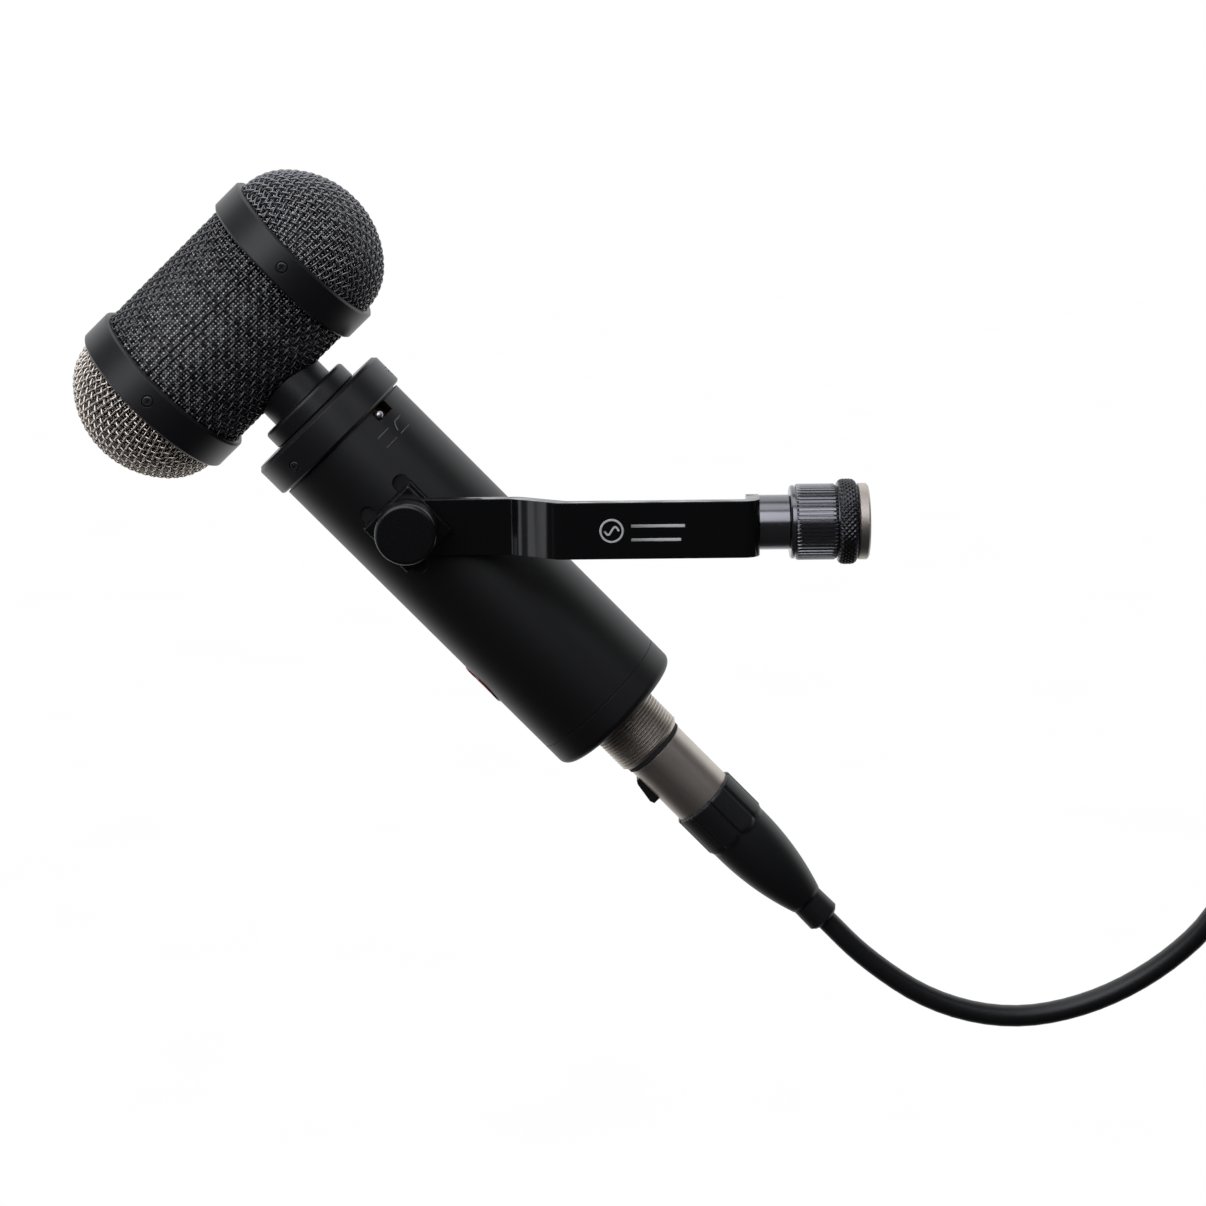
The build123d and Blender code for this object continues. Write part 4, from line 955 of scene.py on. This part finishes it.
def make_boots():
    """The boot of the plug at the microphone and the one at the lead's far end."""
    bore = (CABLE_DIAMETER / 2 + 0.1) * MM
    low, high = reach("plug_boot", MIC)
    bag = Bag()
    revolved(bag, boot_outline(high.z, low.z, bore), PANELS * PANEL_COLUMNS, ribbed(high.z))
    bag.piece("ribbed_boot", MIC, "microphone", "boot_black", ("plug_boot",))
    low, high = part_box("far_plug_boot")
    middle = (low + high) / 2
    place = Matrix.Translation((middle.x, middle.y, 0)) @ Matrix.Rotation(math.pi, 4, "X")
    bag = Bag()
    revolved(bag, boot_outline(-low.z, -high.z, bore), PANELS * PANEL_COLUMNS, ribbed(-low.z))
    return bag.piece("far_ribbed_boot", place, "yoke", "boot_black", ("far_plug_boot",))


# ---------------------------------------------------------------- strap

STRAP_ROUTE = [        # Y and Z of the strap's middle line, round the boom and the coil
    (0.0, 10.3), (7.4, 9.6), (10.6, 3.0), (12.2, -6.0), (14.0, -15.0), (14.0, -25.0),
    (13.6, -36.6), (6.0, -36.6), (-6.0, -36.6), (-13.6, -36.6), (-14.0, -25.0),
    (-14.0, -15.0), (-12.2, -6.0), (-10.6, 3.0), (-7.4, 9.6),
]
STRAP_HALF_THICK = 0.65 * MM
STRAP_SECTION = [      # shares of the half width and of the half thickness
    (-1, -0.6), (-1, 0.6), (-0.96, 1), (-0.5, 1), (0, 1), (0.5, 1), (0.96, 1),
    (1, 0.6), (1, -0.6), (0.96, -1), (0.5, -1), (0, -1), (-0.5, -1), (-0.96, -1),
]


def make_strap():
    """The hook-and-loop strap that holds the coil to the boom."""
    low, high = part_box("coil_strap")
    middle = (low.x + high.x) / 2
    half = (high.x - low.x) / 2
    route = [Vector((middle / MM, y, z)) * MM for y, z in STRAP_ROUTE]
    line = spline_points(route, 8, True)
    ahead = np.roll(line, -1, 0) - np.roll(line, 1, 0)
    ahead /= np.linalg.norm(ahead, axis=1)[:, None]
    outward = np.cross(ahead, (1, 0, 0))
    if (outward * (line - line.mean(0))).sum() < 0:
        outward = -outward
    length = np.concatenate([[0], np.cumsum(np.linalg.norm(np.diff(line, axis=0), axis=1))])
    sideways = np.array([side * half for side, _ in STRAP_SECTION])
    lift = np.array([up * STRAP_HALF_THICK for _, up in STRAP_SECTION])
    grid = line[:, None] + sideways[None, :, None] * np.array([1.0, 0, 0])
    grid = grid + lift[None, :, None] * outward[:, None]
    along, across = np.meshgrid(length, sideways, indexing="ij")
    bag = Bag()
    bag.add_grid(grid, True, True, np.stack([along, across], -1))
    return bag.piece("hook_and_loop_strap", Matrix.Identity(4), "yoke", "strap_black",
                     ("coil_strap",))


# ---------------------------------------------------------------- printed and engraved marks

MARK_WIDTH = 0.22 * MM                # this and the other widths are half widths
ARM_MARK_INSET = 41.5 * MM            # the printed ring's centre, from the bar's end
RING_RADIUS = 3.1 * MM
RING_WIDTH = 0.3 * MM
WAVE_HALF = (2.0 * MM, 1.1 * MM)
BAR_START = 5.4 * MM
BAR_WIDTH = 0.45 * MM
BARS = ((1.3 * MM, 15.0 * MM), (-2.6 * MM, 13.9 * MM))       # height and length


def make_arm_mark():
    """A plain printed mark on the arm: a ring round a wave, and two bars."""
    low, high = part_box("swivel_arm")
    face = low.y - 0.01 * MM
    centre_x = high.x - ARM_MARK_INSET
    bag = Bag()

    def stroke(points, width, closed=False):
        path = [(centre_x + x, face, z) for x, z in points]
        bag.add_strand(path, [(0, -1, 0)] * len(path), width, 8, closed, 0.12)

    turns = np.linspace(0, 2 * math.pi, 49)[:-1]
    ring = [(RING_RADIUS * math.cos(a), RING_RADIUS * math.sin(a)) for a in turns]
    stroke(ring, RING_WIDTH, True)
    wave = np.linspace(-1, 1, 25)
    stroke([(x * WAVE_HALF[0], WAVE_HALF[1] * math.sin(math.pi * x)) for x in wave], RING_WIDTH)
    for height, length in BARS:
        stroke([(BAR_START + length * share, height) for share in (0, 0.5, 1)], BAR_WIDTH)
    bag.piece("arm_mark", Matrix.Identity(4), "yoke", "arm_black", material="mark_grey")


def body_stroke(bag, radius, points, width):
    """A thin line on the tube, by (angle, height) points."""
    outward = [(math.cos(a), math.sin(a), 0) for a, _ in points]
    path = [(radius * math.cos(a), radius * math.sin(a), z) for a, z in points]
    bag.add_strand(path, outward, width, 6, False, 0.3)


def make_switch_marks():
    """Two engraved curves beside the switch: level, and falling at low pitch."""
    _, high = reach("body_tube", MIC)
    radius = high.x
    lever_low, lever_high = reach("switch_lever", MIC)
    lever = (lever_low + lever_high) / 2
    turn = math.atan2(lever.y, lever.x)
    top = lever.z - 4.5 * MM
    bag = Bag()
    for number, fall in enumerate((0.0, 2.4 * MM)):
        centre = turn + (-3.4 + 6.4 * number) * MM / radius
        left = centre - 2.2 * MM / radius
        knee = centre - 0.4 * MM / radius
        right = centre + 2.4 * MM / radius
        line = [(left, top - fall)]
        line += [(left + (knee - left) * s, top - fall * (1 - s) ** 2)
                 for s in np.linspace(0.15, 1, 8)]
        line += [(knee + (right - knee) * s, top) for s in (0.33, 0.66, 1)]
        body_stroke(bag, radius, line, MARK_WIDTH)
        base = top - 3.6 * MM
        body_stroke(bag, radius, [(left, base), (centre, base), (right, base)], MARK_WIDTH * 0.7)
    bag.piece("switch_marks", MIC, "microphone", "body_black", material="mark_dark")


def make_badge_marks():
    """Small engraved signs above and below the badge: a ring, and a short bar."""
    _, high = reach("body_tube", MIC)
    radius = high.x
    badge_low, badge_high = reach("badge", MIC)
    bag = Bag()
    ring_height = badge_high.z + 7.0 * MM
    turns = np.linspace(0, 2 * math.pi, 25)
    size = 1.3 * MM
    points = [(math.pi + size * math.cos(a) / radius, ring_height + size * math.sin(a))
              for a in turns]
    body_stroke(bag, radius, points, MARK_WIDTH)
    bar = badge_low.z - 6.0 * MM
    half = 2.2 * MM / radius
    points = [(math.pi + half * side, bar) for side in (-1, 0, 1)]
    body_stroke(bag, radius, points, MARK_WIDTH)
    bag.piece("badge_marks", MIC, "microphone", "body_black", material="mark_dark")


# ---------------------------------------------------------------- all of it

def build_all():
    make_camera()
    make_materials()
    make_stage()
    dress_cad_nodes()
    lead, path, leaves = make_lead()
    far_boot = make_boots()
    strap = make_strap()
    outer, low, high = make_side_weave()
    make_side_liner(outer, low, high)
    make_dome("front_dome", "front_dome_grille", "front_ring", "nickel_wire", -1)
    make_dome("rear_dome", "rear_dome_grille", "rear_ring", "black_wire", 1)
    make_knurled_barrel()
    make_knurled_ring()
    make_arm_mark()
    make_switch_marks()
    make_badge_marks()


build_all()
